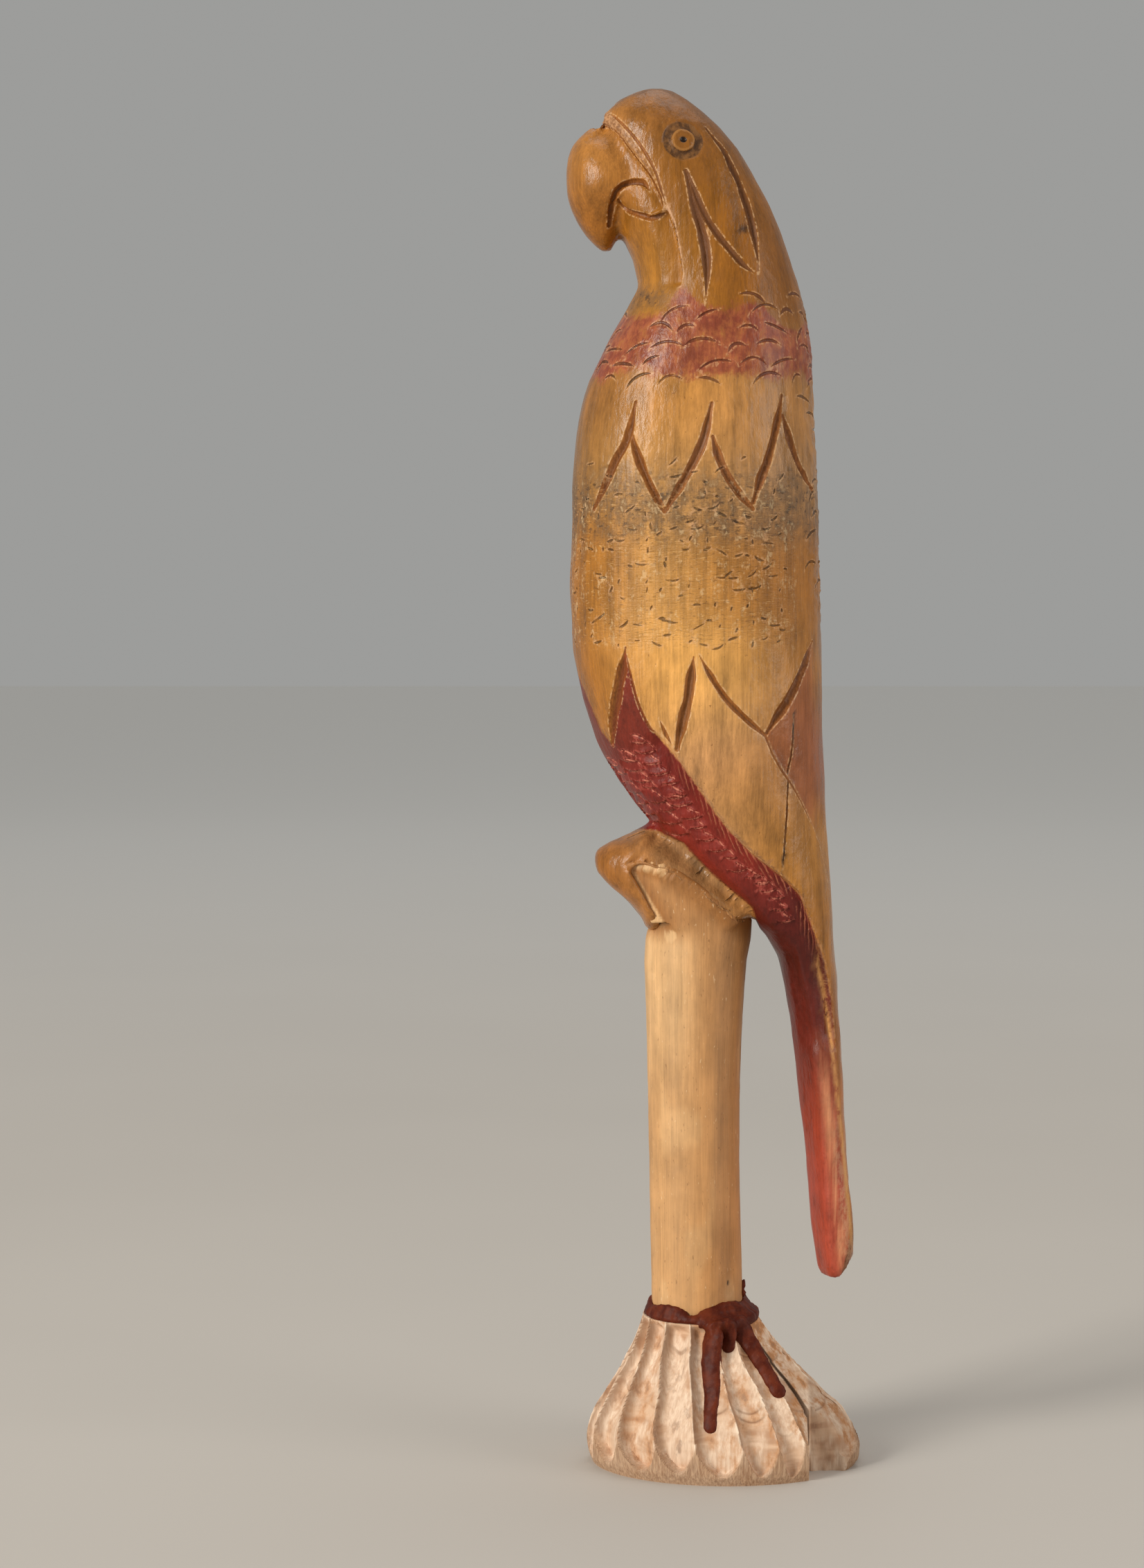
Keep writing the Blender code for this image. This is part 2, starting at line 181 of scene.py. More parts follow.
def refined(points, tris, wanted):
    """Halves the edges of every triangle whose corners are all wanted; the mesh stays closed."""
    edges, index = edges_of(tris)
    index = index.reshape(3, -1).T
    split = np.zeros(len(edges), bool)
    split[index[wanted[tris].all(axis=1)]] = True
    middle = np.full(len(edges), -1)
    middle[split] = len(points) + np.arange(split.sum())
    points = np.concatenate([points, points[edges[split]].mean(axis=1)])
    mid = middle[index]
    code = (mid >= 0) @ np.array([1, 2, 4])
    parts = [tris[code == 0]]
    (a, b, c), (ab, bc, ca) = tris[code == 7].T, mid[code == 7].T
    parts += [np.stack(t, 1) for t in ((a, ab, ca), (ab, b, bc), (ca, bc, c), (ab, bc, ca))]
    for k in range(3):
        turn = [k, (k + 1) % 3, (k + 2) % 3]
        one = code == 1 << k
        (a, b, c), m = tris[one][:, turn].T, mid[one, k]
        parts += [np.stack(t, 1) for t in ((a, m, c), (m, b, c))]
        two = code == 7 - (1 << k)
        (a, b, c), (_, bc, ca) = tris[two][:, turn].T, mid[two][:, turn].T
        parts += [np.stack(t, 1) for t in ((c, ca, bc), (a, b, bc), (a, bc, ca))]
    return points, np.concatenate(parts)


def noise(points, size, seed):
    """Smooth noise from -1 to 1, with features about size mm across (a number or one per axis)."""
    grid = np.random.default_rng(seed).uniform(-1, 1, (32, 32, 32))
    scaled = points / np.array(size, float)
    cell = np.floor(scaled).astype(int)
    near = scaled - cell
    near = near * near * (3 - 2 * near)
    total = np.zeros(len(points))
    for corner in np.ndindex(2, 2, 2):
        weight = np.prod(np.where(corner, near, 1 - near), axis=1)
        total += weight * grid[tuple(((cell + corner) % 32).T)]
    return total


def ramp(value, low, high):
    """Smoothly 0 to 1 as value goes from low to high; low may be above high."""
    t = np.clip((value - low) / (high - low), 0, 1)
    return t * t * (3 - 2 * t)


def bell(value, middle, width):
    """1 at the middle, fading out on both sides."""
    return np.exp(-(((value - middle) / width) ** 2))


# --- Lines --------------------------------------------------------------------------------------
def curve_through(line, step=1.0):
    """Points about a step apart on a smooth curve through a line's points."""
    line = np.array(line, float)
    before = np.concatenate([[2 * line[0] - line[1]], line, [2 * line[-1] - line[-2]]])
    out = []
    for p0, p1, p2, p3 in zip(before, before[1:], before[2:], before[3:]):
        count = max(1, round(float(np.linalg.norm(p2 - p1)) / step))
        square, cube = 2 * p0 - 5 * p1 + 4 * p2 - p3, 3 * p1 - p0 - 3 * p2 + p3
        for t in np.arange(count) / count:
            out.append(p1 + ((p2 - p0) * t + square * t * t + cube * t**3) / 2)
    return np.array([*out, line[-1]])


def spaced(line, step=0.5):
    """Points about a step apart on the straight stretches between a line's points."""
    line = np.array(line, float)
    out = []
    for a, b in zip(line, line[1:]):
        count = max(1, round(float(np.linalg.norm(b - a)) / step))
        out += [a + (b - a) * t for t in np.arange(count) / count]
    return np.array([*out, line[-1]])


def lifted(tree, line, side, step=1.0):
    """A side line laid on the surface of the bird, on its -Y (side -1) or +Y (side 1) half."""
    path = []
    for x, z in curve_through(line, step):
        hit = tree.ray_cast(Vector((x, side * BESIDE_BIRD, z)), Vector((0, -side, 0)))[0]
        if hit is None or hit.y * side < 0:
            hit = tree.find_nearest(Vector((x, side * 6, z)))[0]
        path.append(hit)
    return np.array(path)


def near_path(points, path, reach):
    """Rows of points within reach of a path, their distance, share of its length and foot point."""
    low, high = path.min(axis=0) - reach, path.max(axis=0) + reach
    rows = np.where(((points > low) & (points < high)).all(axis=1))[0]
    a, step = path[:-1], np.diff(path, axis=0)
    length = np.maximum((step**2).sum(axis=1), 1e-12)
    from_a = points[rows][:, None] - a
    t = np.clip((from_a * step).sum(axis=2) / length, 0, 1)
    away = from_a - t[..., None] * step
    square = (away**2).sum(axis=2)
    best = square.argmin(axis=1)
    pick = np.arange(len(rows))
    walked = np.concatenate([[0], np.cumsum(np.sqrt(length))])
    share = (walked[best] + t[pick, best] * np.sqrt(length[best])) / walked[-1]
    distance = np.sqrt(square[pick, best])
    keep = distance < reach
    return rows[keep], distance[keep], share[keep], away[pick, best][keep], step[best[keep]]


def side_of(away, along, normals):
    """Signed distance from a path: positive on the right of its direction, seen from outside."""
    across = np.cross(along, normals)
    across /= np.maximum(np.linalg.norm(across, axis=1, keepdims=True), 1e-9)
    return (away * across).sum(axis=1)


class Carving:
    """A mesh being carved, with the fields that its material reads."""

    def __init__(self, points, tris):
        self.points, self.tris = points, tris
        self.normals = normals_of(points, tris)
        self.shift = np.zeros(len(points))
        self.fields = {}
        self.tints = {}

    def field(self, name, start=0.0):
        if name not in self.fields:
            self.fields[name] = np.full(len(self.points), start)
        return self.fields[name]

    def groove(self, path, width, depth, taper=0.16, seed=0, start=0.0, end=0.0, field="cut"):
        """A V-cut that narrows to its ends (start and end: the share of width kept there)."""
        rows, distance, share, _, _ = near_path(self.points, path, 1.6 * width + 1.0)
        wobble = 1 + 0.22 * noise(self.points[rows], 3.5, seed)
        left = start + (1 - start) * ramp(share, 0, taper)
        right = end + (1 - end) * ramp(1 - share, 0, taper)
        half = width / 2 * wobble * np.minimum(left, right) + 1e-3
        inside = np.clip(1 - distance / half, 0, 1)
        cut = depth * np.minimum(left, right) * inside**0.85
        rise = ramp(distance, 0.8 * half, 1.1 * half)
        lip = 0.10 * depth * rise * ramp(distance, 1.9 * half, 1.1 * half)
        self.shift[rows] = np.minimum(self.shift[rows], -cut) + np.where(inside > 0, 0, lip)
        edge = self.field(field, -3.0)
        edge[rows] = np.maximum(edge[rows], half - distance)

    def step(self, path, drop, width, right=True, edge=0.7, taper=0.08):
        """Lowers one side of a path, sharply at the path and fading out over a width."""
        rows, _, share, away, along = near_path(self.points, path, width)
        signed = side_of(away, along, self.normals[rows]) * (1 if right else -1)
        ends = ramp(share, 0, taper) * ramp(1 - share, 0, taper)
        amount = drop * ends * ramp(signed, -edge / 2, edge / 2) * ramp(signed, width, edge)
        self.shift[rows] -= amount

    def apply(self):
        self.points = self.points + self.normals * self.shift[:, None]
        self.normals = normals_of(self.points, self.tris)
        self.shift = np.zeros(len(self.points))


def piece_from(name, carving, look, node, body="root", most=195_000):
    """The finished piece: a mesh in metres with its fields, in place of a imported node."""
    mesh = bpy.data.meshes.new(name)
    mesh.from_pydata((carving.points * MM).tolist(), [], carving.tris.tolist())
    for field, values in carving.fields.items():
        layer = mesh.attributes.new(field, "FLOAT", "POINT")
        layer.data.foreach_set("value", values.astype(np.float32))
    for field, values in carving.tints.items():
        layer = mesh.attributes.new(field, "FLOAT_COLOR", "POINT")
        opaque = np.column_stack([values, np.ones(len(values))])
        layer.data.foreach_set("color", opaque.ravel().astype(np.float32))
    mesh.shade_smooth()
    made = add_object(name, mesh)
    if len(mesh.polygons) > most:
        thin = made.modifiers.new("thin", "DECIMATE")
        thin.ratio = most / len(mesh.polygons)
        graph = bpy.context.evaluated_depsgraph_get()
        made.data = bpy.data.meshes.new_from_object(made.evaluated_get(graph))
        made.modifiers.clear()
        made.data.shade_smooth()
    made.data.materials.clear()
    made.data.materials.append(look)
    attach(made, body)
    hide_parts(node)
    return made


# --- Node materials -----------------------------------------------------------------------------
class Graph:
    """A short way to build a material's nodes: most methods return an output socket."""

    def __init__(self, name):
        self.material = bpy.data.materials.new(name)
        self.material.use_nodes = True
        self.tree = self.material.node_tree
        self.shader = self.tree.nodes["Principled BSDF"]
        self.colour = None

    def node(self, kind, **values):
        made = self.tree.nodes.new(kind)
        for key, value in values.items():
            setattr(made, key, value)
        return made

    def plug(self, socket, value):
        if isinstance(value, bpy.types.NodeSocket):
            self.tree.links.new(value, socket)
        elif isinstance(value, tuple) and socket.type == "RGBA":
            socket.default_value = (*value, 1.0)
        else:
            socket.default_value = value

    def math(self, operation, *values):
        """The values joined from the left by one operation."""
        total = values[0]
        for value in values[1:]:
            made = self.node("ShaderNodeMath", operation=operation)
            self.plug(made.inputs[0], total)
            self.plug(made.inputs[1], value)
            total = made.outputs[0]
        return total

    def add(self, *values):
        return self.math("ADD", *values)

    def times(self, *values):
        return self.math("MULTIPLY", *values)

    def centred(self, noise):
        return self.math("SUBTRACT", noise, 0.5)

    def ramp(self, value, low, high):
        """Smoothly 0 to 1 as value goes from low to high; low may be above high."""
        made = self.node("ShaderNodeMapRange", interpolation_type="SMOOTHSTEP", clamp=True)
        flip = low > high
        self.plug(made.inputs["Value"], value)
        self.plug(made.inputs["From Min"], high if flip else low)
        self.plug(made.inputs["From Max"], low if flip else high)
        self.plug(made.inputs["To Min"], 1.0 if flip else 0.0)
        self.plug(made.inputs["To Max"], 0.0 if flip else 1.0)
        return made.outputs["Result"]

    def mix(self, share, a, b):
        made = self.node("ShaderNodeMix", data_type="RGBA", clamp_factor=True)
        self.plug(made.inputs[0], share)
        self.plug(made.inputs[6], a)
        self.plug(made.inputs[7], b)
        return made.outputs[2]

    def blend(self, value, low, high, first, second):
        """From one display colour to another as value goes from low to high."""
        return self.mix(self.ramp(value, low, high), srgb(*first), srgb(*second))

    def paint(self, colour, *shares):
        """Lays a display colour or a socket over the graph's colour, by the product of the shares."""
        colour = srgb(*colour) if isinstance(colour, tuple) else colour
        self.colour = self.mix(self.times(*shares), self.colour, colour)

    def shade(self, colour, amount):
        """A colour multiplied by a number."""
        made = self.node("ShaderNodeVectorMath", operation="SCALE")
        self.plug(made.inputs[0], colour)
        self.plug(made.inputs["Scale"], amount)
        return made.outputs[0]

    def attribute(self, name, output="Fac"):
        return self.node("ShaderNodeAttribute", attribute_name=name).outputs[output]

    def noise(self, scale, detail=4.0, roughness=0.6, shift=(0.0, 0.0, 0.0), bend=0.0):
        """Noise about 0.5 in object space, with 1 / scale mm to each of its cells."""
        place = self.node("ShaderNodeMapping")
        self.plug(place.inputs["Vector"], self.node("ShaderNodeTexCoord").outputs["Object"])
        place.inputs["Scale"].default_value = tuple(s / MM for s in scale)
        place.inputs["Location"].default_value = shift
        made = self.node("ShaderNodeTexNoise")
        self.plug(made.inputs["Vector"], place.outputs["Vector"])
        made.inputs["Scale"].default_value = 1.0
        made.inputs["Detail"].default_value = detail
        made.inputs["Roughness"].default_value = roughness
        made.inputs["Distortion"].default_value = bend
        return made.outputs["Fac"]

    def finish(self, roughness, height, strength=0.5, distance=0.0003, shine=0.35):
        self.plug(self.shader.inputs["Base Color"], self.colour)
        self.plug(self.shader.inputs["Roughness"], roughness)
        self.shader.inputs["Specular IOR Level"].default_value = shine
        bump = self.node("ShaderNodeBump")
        bump.inputs["Strength"].default_value = strength
        bump.inputs["Distance"].default_value = distance
        self.plug(bump.inputs["Height"], height)
        self.plug(self.shader.inputs["Normal"], bump.outputs["Normal"])
        return self.material


def srgb(red, green, blue):
    """A linear colour from 0 to 255 display values."""
    return tuple(((v / 255 + 0.055) / 1.055) ** 2.4 for v in (red, green, blue))


def grain(g, shift):
    """Fibres that run up the wood, fine and broad, and blotches: all about 0.5."""
    fine = g.noise((2.2, 2.2, 0.06), 4.0, 0.65, (shift, 0.0, 0.0))
    broad = g.noise((0.35, 0.35, 0.018), 3.0, 0.55, (0.0, shift, 0.0), 0.4)
    blotch = g.noise((0.16, 0.16, 0.10), 4.0, 0.62, (0.0, 0.0, shift))
    return fine, broad, blotch


def wood_tone(g, tint, layers, depth=1.0):
    """A tint made lighter and darker by the layers of the grain."""
    amounts = (0.75, 0.8, 0.9)
    waves = [g.times(g.centred(layer), amount * depth) for layer, amount in zip(layers, amounts)]
    return g.shade(tint, g.add(1.0, *waves))


def parrot_look():
    g = Graph("parrot_wood")
    layers = grain(g, 2.0)
    fine, broad, blotch = layers
    specks = g.noise((1.5, 1.5, 1.0), 2.0, 0.5, (9.0, 0.0, 0.0))
    ragged = g.centred(g.noise((0.9, 0.9, 0.6), 4.0, 0.7, (3.0, 7.0, 0.0)))
    patchy = g.noise((0.45, 0.45, 0.30), 4.0, 0.68, (1.0, 2.0, 3.0))
    marks = g.noise((0.50, 0.50, 2.1), 4.0, 0.62, (7.0, 2.0, 3.0), 0.3)
    head, cut, scratch, ticks = (g.attribute(name) for name in ("head", "cut", "scratch", "ticks"))

    def torn(name, amount, low, high):
        """The ragged edge of a named field."""
        return g.ramp(g.add(g.attribute(name), g.times(ragged, amount)), low, high)

    g.colour = wood_tone(g, g.attribute("tint", "Color"), layers, 1.3)
    g.paint((96, 56, 24), g.ramp(specks, 0.32, 0.22), 0.5)
    g.paint((214, 164, 108), g.ramp(specks, 0.70, 0.80), 0.35)
    g.paint((108, 66, 26), head, g.ramp(blotch, 0.46, 0.60), 0.30)

    rust = wood_tone(g, g.blend(patchy, 0.40, 0.62, (158, 86, 54), (130, 60, 44)), layers)
    g.paint(rust, torn("rust", 5.0, -1.2, 1.2), g.ramp(patchy, 0.20, 0.46), 0.92)
    russet = wood_tone(g, srgb(146, 80, 50), layers)
    g.paint(russet, g.ramp(g.attribute("russet"), -1.0, 0.6), torn("faded", 0.5, 0.9, 0.05), 0.7)
    red = wood_tone(g, g.attribute("red_tint", "Color"), layers)
    red = g.mix(g.times(g.ramp(patchy, 0.50, 0.70), 0.5), red, g.shade(red, 0.5))
    streak = g.times(g.attribute("streak"), g.ramp(broad, 0.36, 0.56), 0.8)
    red = g.mix(streak, red, wood_tone(g, srgb(214, 150, 108), layers))
    in_red = torn("red", 1.0, -0.3, 0.3)
    g.paint(red, in_red)

    smudge = g.times(g.attribute("smudge"), g.ramp(patchy, 0.34, 0.60))
    g.paint((92, 72, 54), smudge, 0.60)
    spots = g.ramp(g.noise((0.45, 0.45, 0.8), 4.0, 0.65, (5.0, 5.0, 5.0)), 0.55, 0.64)
    g.paint((48, 36, 30), g.attribute("smudge"), spots, 0.6)

    inside = torn("cut", 0.22, -0.05, 0.12)
    tone = g.blend(fine, 0.3, 0.7, (118, 66, 24), (158, 96, 40))
    tone = g.mix(g.times(in_red, 0.5), tone, srgb(150, 66, 40))
    tone = g.mix(g.times(head, 0.7), tone, srgb(98, 60, 28))
    g.paint(tone, inside, 0.92)
    # The middle of each cut is darker still: painted shade.
    g.paint((84, 44, 16), g.ramp(cut, 0.35, 0.75), 0.45)
    lip = g.times(g.ramp(cut, -0.50, -0.14), g.ramp(cut, 0.05, -0.05), g.ramp(specks, 0.42, 0.60))
    g.paint((222, 178, 130), lip, 0.6)

    line = torn("scratch", 0.12, -0.04, 0.08)
    dark_line = g.mix(head, srgb(60, 42, 26), srgb(92, 50, 36))
    g.paint(dark_line, line, g.math("SUBTRACT", 1.0, in_red), g.ramp(patchy, 0.24, 0.46), 0.68)
    g.paint((206, 122, 100), line, in_red, g.ramp(specks, 0.36, 0.58), 0.9)
    chip = g.times(g.ramp(scratch, -0.60, -0.15), g.ramp(scratch, 0.0, -0.08), g.ramp(specks, 0.45, 0.60))
    g.paint(g.mix(in_red, srgb(216, 166, 120), srgb(190, 92, 78)), chip, 0.5)
    slant = g.add(g.times(g.attribute("strip_s"), -0.26), g.attribute("strip_t"), g.times(ragged, 0.4))
    stripes = g.ramp(g.math("PINGPONG", slant, 0.40), 0.22, 0.06)
    hatch = g.times(stripes, g.attribute("hatch"), g.ramp(patchy, 0.35, 0.55))
    g.paint((196, 118, 86), hatch, 0.6)

    cere = torn("cere", 0.8, -0.2, 0.3)
    crumbs = g.noise((1.1, 1.1, 1.1), 4.0, 0.7, (6.0, 6.0, 2.0))
    g.paint(g.blend(crumbs, 0.35, 0.65, (126, 82, 48), (198, 150, 108)), cere, 0.85)
    g.paint((222, 160, 92), g.attribute("gold"), g.ramp(patchy, 0.30, 0.50), 0.85)
    bare = g.ramp(g.noise((0.9, 0.9, 0.5), 4.0, 0.7, (8.0, 3.0, 1.0)), 0.40, 0.58)
    pale = g.times(g.attribute("pale"), bare)
    g.paint((202, 156, 118), pale, 0.75)
    ring = g.times(torn("eye", 0.45, 2.75, 2.95), torn("eye", 0.45, 5.05, 4.80))
    g.paint(g.blend(patchy, 0.40, 0.60, (62, 38, 18), (122, 82, 42)), ring, 0.85)
    # A pale rim round the eye's disc: painted highlight.
    g.paint((206, 150, 86), torn("eye", 0.45, 2.1, 2.5), torn("eye", 0.45, 2.9, 2.7), 0.25)
    g.paint((30, 18, 12), g.ramp(g.attribute("eye"), 0.95, 0.65))
    # Near black: painted shade down the crack, and the freckle's own dark colour.
    g.paint((44, 26, 16), g.attribute("dark"))

    # Pale patches among the ticks: partly chips, partly painted highlight for the varnish's glints.
    g.paint((236, 204, 156), ticks, g.ramp(patchy, 0.54, 0.66), g.ramp(specks, 0.36, 0.56), 0.4)
    g.paint((84, 56, 30), ticks, g.ramp(marks, 0.60, 0.68), 0.45)
    g.paint((230, 186, 126), ticks, g.ramp(marks, 0.40, 0.33), 0.40)

    worn = g.times(g.add(smudge, pale, cere, inside, ring, g.times(head, 0.4)), 0.2)
    rough = g.add(0.23, g.times(g.ramp(blotch, 0.4, 0.7), 0.12), worn, g.times(in_red, 0.12))
    dents = g.noise((0.55, 0.55, 0.30), 3.0, 0.6, (4.0, 1.0, 6.0))
    height = g.add(
        g.times(fine, 0.22), g.times(specks, 0.15), g.times(g.add(hatch, line), -0.6),
        g.times(g.add(pale, ring), ragged), g.times(in_red, patchy, 0.4), g.times(ticks, marks, 2.0),
        g.times(dents, 1.3),
    )
    return g.finish(rough, height, 0.7, shine=0.29)


def handle_look():
    g = Graph("handle_wood")
    layers = grain(g, 5.0)
    fine, _, blotch = layers
    specks = g.noise((1.7, 1.7, 0.6), 2.0, 0.5, (4.0, 0.0, 0.0))
    # brown: the parrot's stain at the top and streaks, and painted shade towards the right side.
    tint = g.mix(g.attribute("brown"), srgb(190, 138, 86), srgb(160, 106, 54))
    # pale: painted light on the left side, and pale streaks and chips.
    tint = g.mix(g.times(g.attribute("pale"), 0.8), tint, srgb(226, 184, 132))
    g.colour = wood_tone(g, tint, layers, 0.8)
    g.paint((112, 72, 40), g.ramp(specks, 0.34, 0.24), 0.45)
    g.paint((238, 208, 166), g.ramp(specks, 0.68, 0.76), 0.45)
    # Near black in the nick: painted shade.
    g.paint((40, 24, 16), g.attribute("dark"))
    height = g.add(g.times(fine, 0.5), g.times(specks, 0.2))
    return g.finish(g.add(0.44, g.times(blotch, 0.16)), height, 0.5, 0.00025)


def foot_look():
    g = Graph("foot_wood")
    fibres = g.noise((1.5, 1.5, 0.14), 4.0, 0.6, (0.0, 1.0, 0.0))
    patches = g.noise((0.14, 0.14, 0.10), 3.0, 0.6, (5.0, 1.0, 2.0))
    blotch = g.noise((0.30, 0.30, 0.16), 4.0, 0.65, (1.0, 8.0, 2.0))
    rings = g.noise((0.09, 0.09, 0.36), 3.0, 0.55, (2.0, 2.0, 7.0), 0.6)
    ends = g.noise((2.4, 2.4, 0.20), 4.0, 0.7, (7.0, 1.0, 2.0))
    cream = g.blend(fibres, 0.3, 0.7, (212, 180, 152), (240, 214, 188))
    pink = g.blend(rings, 0.36, 0.64, (190, 148, 116), (220, 184, 152))
    end_grain = g.blend(ends, 0.32, 0.68, (140, 104, 76), (196, 162, 130))
    g.colour = g.mix(g.ramp(patches, 0.40, 0.62), cream, pink)
    g.paint((196, 136, 84), g.attribute("warm"), g.ramp(blotch, 0.44, 0.66), 0.8)
    g.paint((140, 112, 94), g.ramp(blotch, 0.56, 0.72), 0.6)
    # A pale line beside each crest: painted highlight, partly chipped crests.
    g.paint((250, 232, 208), g.attribute("ridge"), g.ramp(blotch, 0.62, 0.40), 0.7)
    g.paint((122, 80, 50), g.attribute("stop"), 0.55)
    # Painted shade on the steep wall of each flute.
    g.paint((126, 90, 62), g.attribute("wall"), 0.62)
    g.paint(end_grain, g.attribute("band"), 0.85)
    # Painted shade in the slit of the crack and on the lost corner's wall.
    g.paint((104, 74, 52), g.attribute("crack_shade"), 0.8)
    height = g.add(g.times(fibres, 0.6), g.times(rings, 0.3))
    return g.finish(g.add(0.66, g.times(patches, 0.2)), height, 0.6)


def glue_look():
    g = Graph("dried_glue")
    patches = g.noise((0.30, 0.30, 0.20), 4.0, 0.65, (2.0, 1.0, 0.0))
    dust = g.noise((2.0, 2.0, 2.0), 3.0)
    g.colour = g.blend(patches, 0.35, 0.68, (72, 22, 8), (104, 42, 20))
    g.paint((136, 84, 56), g.ramp(dust, 0.58, 0.75), 0.3)
    height = g.add(g.times(patches, 0.8), g.times(dust, 0.2))
    return g.finish(g.add(0.36, g.times(patches, 0.3)), height, 0.35, 0.0004, 0.16)


def seed_look():
    g = Graph("seed_skin")
    mottle = g.noise((0.9, 0.9, 0.9))
    g.colour = g.blend(mottle, 0.4, 0.65, (36, 26, 20), (78, 58, 44))
    return g.finish(g.add(0.35, g.times(mottle, 0.3)), mottle, 0.3, 0.0002)


def floor_look():
    g = Graph("pale_floor")
    soft = g.noise((0.004, 0.004, 0.004), 2.0, 0.55)
    away = g.node("ShaderNodeVectorMath", operation="LENGTH")
    g.plug(away.inputs[0], g.node("ShaderNodeTexCoord").outputs["Object"])
    near = g.mix(soft, srgb(190, 184, 176), srgb(198, 192, 184))
    g.colour = g.mix(g.ramp(away.outputs["Value"], 0.3, 2.2), near, srgb(252, 250, 246))
    return g.finish(0.8, soft, 0.0)


# --- Parrot -------------------------------------------------------------------------------------
# What the bare wood looks like at places on the parrot's side: (x, z) and a display colour.
TINTS = (
    ((-22, 320), (172, 116, 60)), ((-19, 298), (150, 90, 32)), ((-8, 332), (126, 80, 38)),
    ((6, 326), (126, 78, 26)), ((2, 312), (142, 90, 28)), ((-12, 294), (168, 118, 50)),
    ((6, 296), (148, 92, 28)), ((16, 296), (138, 86, 30)), ((-22, 262), (132, 86, 44)),
    ((-26, 246), (134, 92, 44)), ((-8, 258), (188, 130, 66)), ((6, 256), (190, 136, 84)),
    ((20, 256), (166, 116, 68)), ((-12, 244), (200, 152, 102)), ((2, 242), (168, 124, 80)),
    ((16, 242), (164, 124, 90)), ((-26, 218), (156, 98, 26)), ((-10, 216), (206, 154, 94)),
    ((6, 216), (168, 114, 56)), ((24, 216), (162, 106, 48)), ((-22, 190), (144, 86, 18)),
    ((-8, 194), (240, 180, 110)), ((6, 194), (222, 168, 104)), ((20, 196), (164, 110, 56)),
    ((4, 180), (186, 138, 104)), ((12, 166), (182, 130, 80)), ((22, 150), (170, 116, 56)),
    ((30, 130), (166, 110, 54)), ((28, 176), (144, 92, 56)), ((-6, 150), (160, 122, 94)),
    ((1, 145), (172, 134, 102)), ((-20, 148), (150, 92, 34)), ((-13, 141), (166, 104, 40)),
    ((8, 138), (156, 102, 48)), ((38, 46), (122, 70, 44)), ((37, 110), (150, 92, 46)),
    ((36, 80), (170, 104, 56)),
)
RED_TINTS = (
    ((-26, 190), (108, 40, 28)), ((-18, 195), (122, 42, 28)), ((-6, 168), (118, 32, 26)),
    ((8, 152), (136, 42, 34)), ((20, 140), (92, 24, 20)), ((22, 122), (76, 24, 18)),
    ((28, 108), (104, 34, 28)), ((25, 95), (62, 20, 17)), ((31, 90), (180, 74, 56)),
    ((28, 62), (134, 50, 46)), ((34, 60), (186, 84, 66)),
)
TINT_REACH = 8.5
UNDER_VARNISH = (0.98, 0.95, 0.74)  # the wood's own colour is warmer than it looks through its shine

RED_AREA = (
    (-45.0, 199.0), (-30.3, 199.0), (-29.1, 194.6), (-27.4, 190.4), (-25.6, 186.4), (-23.5, 181.1),
    *LOWER_CUTS[0][::-1], *LOWER_CUTS[1],
    *WING_EDGE[2:], (34.8, 88.0), (36.2, 72.0), (37.6, 57.0), (34.0, 40.0), (20.0, 40.0), (14.0, 130.0),
    *STRIP_LOW[::-1], (-45.0, 157.0),
)
RUSSET_AREA = (*BACK_EDGE, (45.0, 150.0), (45.0, 200.0), *LOWER_CUTS[4])
CERE_AREA = (*CERE_FRONT, *CERE_BACK[::-1])
MANDIBLE_AREA = (*MANDIBLE_TOP[1:], *MANDIBLE_LOW[::-1])
LEG_AREA = (*LEG_EDGE, *STRIP_LOW[::-1])
# The tail's front edge and the ridge along its side, at heights from its tip up.
TAIL_HEIGHTS = (46, 56, 75, 90, 105, 118, 125)
TAIL_FRONT = (31.0, 29.2, 27.4, 25.7, 23.9, 21.7, 20.2)
TAIL_RIDGE = (33.2, 32.4, 31.2, 30.2, 28.2, 25.2, 23.6)
TAIL_DEPTH = 9.6
TAIL_END = 58  # the fine end of the tail, which is smoothed less
FEET_TOP = 150
FEET_BACK = 14
BIRD_MIDDLE = 3.0
BORE_CLEAR = 9.6  # the hidden bore is inside this radius, and keeps its size
TAIL_TIP = 46.5
TIP_BACK = 37.3
FRONT_SHARE = 0.42  # how wide the tail's front edge is, as a share of its ridge
# Rows of knife strokes: heights, gaps round the bird in radians, and where the rows change.
SCALE_ROWS = np.arange(205.0, 291.0, 4.0)
SCALE_GAP = 8.2 / 25
COLLAR_FOOT = 262
NAPE_FOOT = 284
BACK_STRIP = math.radians(27)
TICK_ROWS = np.arange(203.0, 247.0, 3.5)
TICK_GAP = 3.7 / 26
TICK_EDGE = math.radians(52)
TICKS_SPARSE = 232
# Columns of scales on the red strip, as mm below the wing's edge, and places along that edge.
STRIP_COLUMNS = (3.3, 7.6, 11.9, 16.0)
STRIP_LENGTH = 62.0
SCALE_TOP = ((-5.0, 1.9), (-3.2, 1.7), (-1.4, 0.9), (0.0, 0.0))
SCALE_LOW = ((-4.8, -0.3), (-3.2, -1.0), (-1.3, -0.8), (0.0, 0.0))
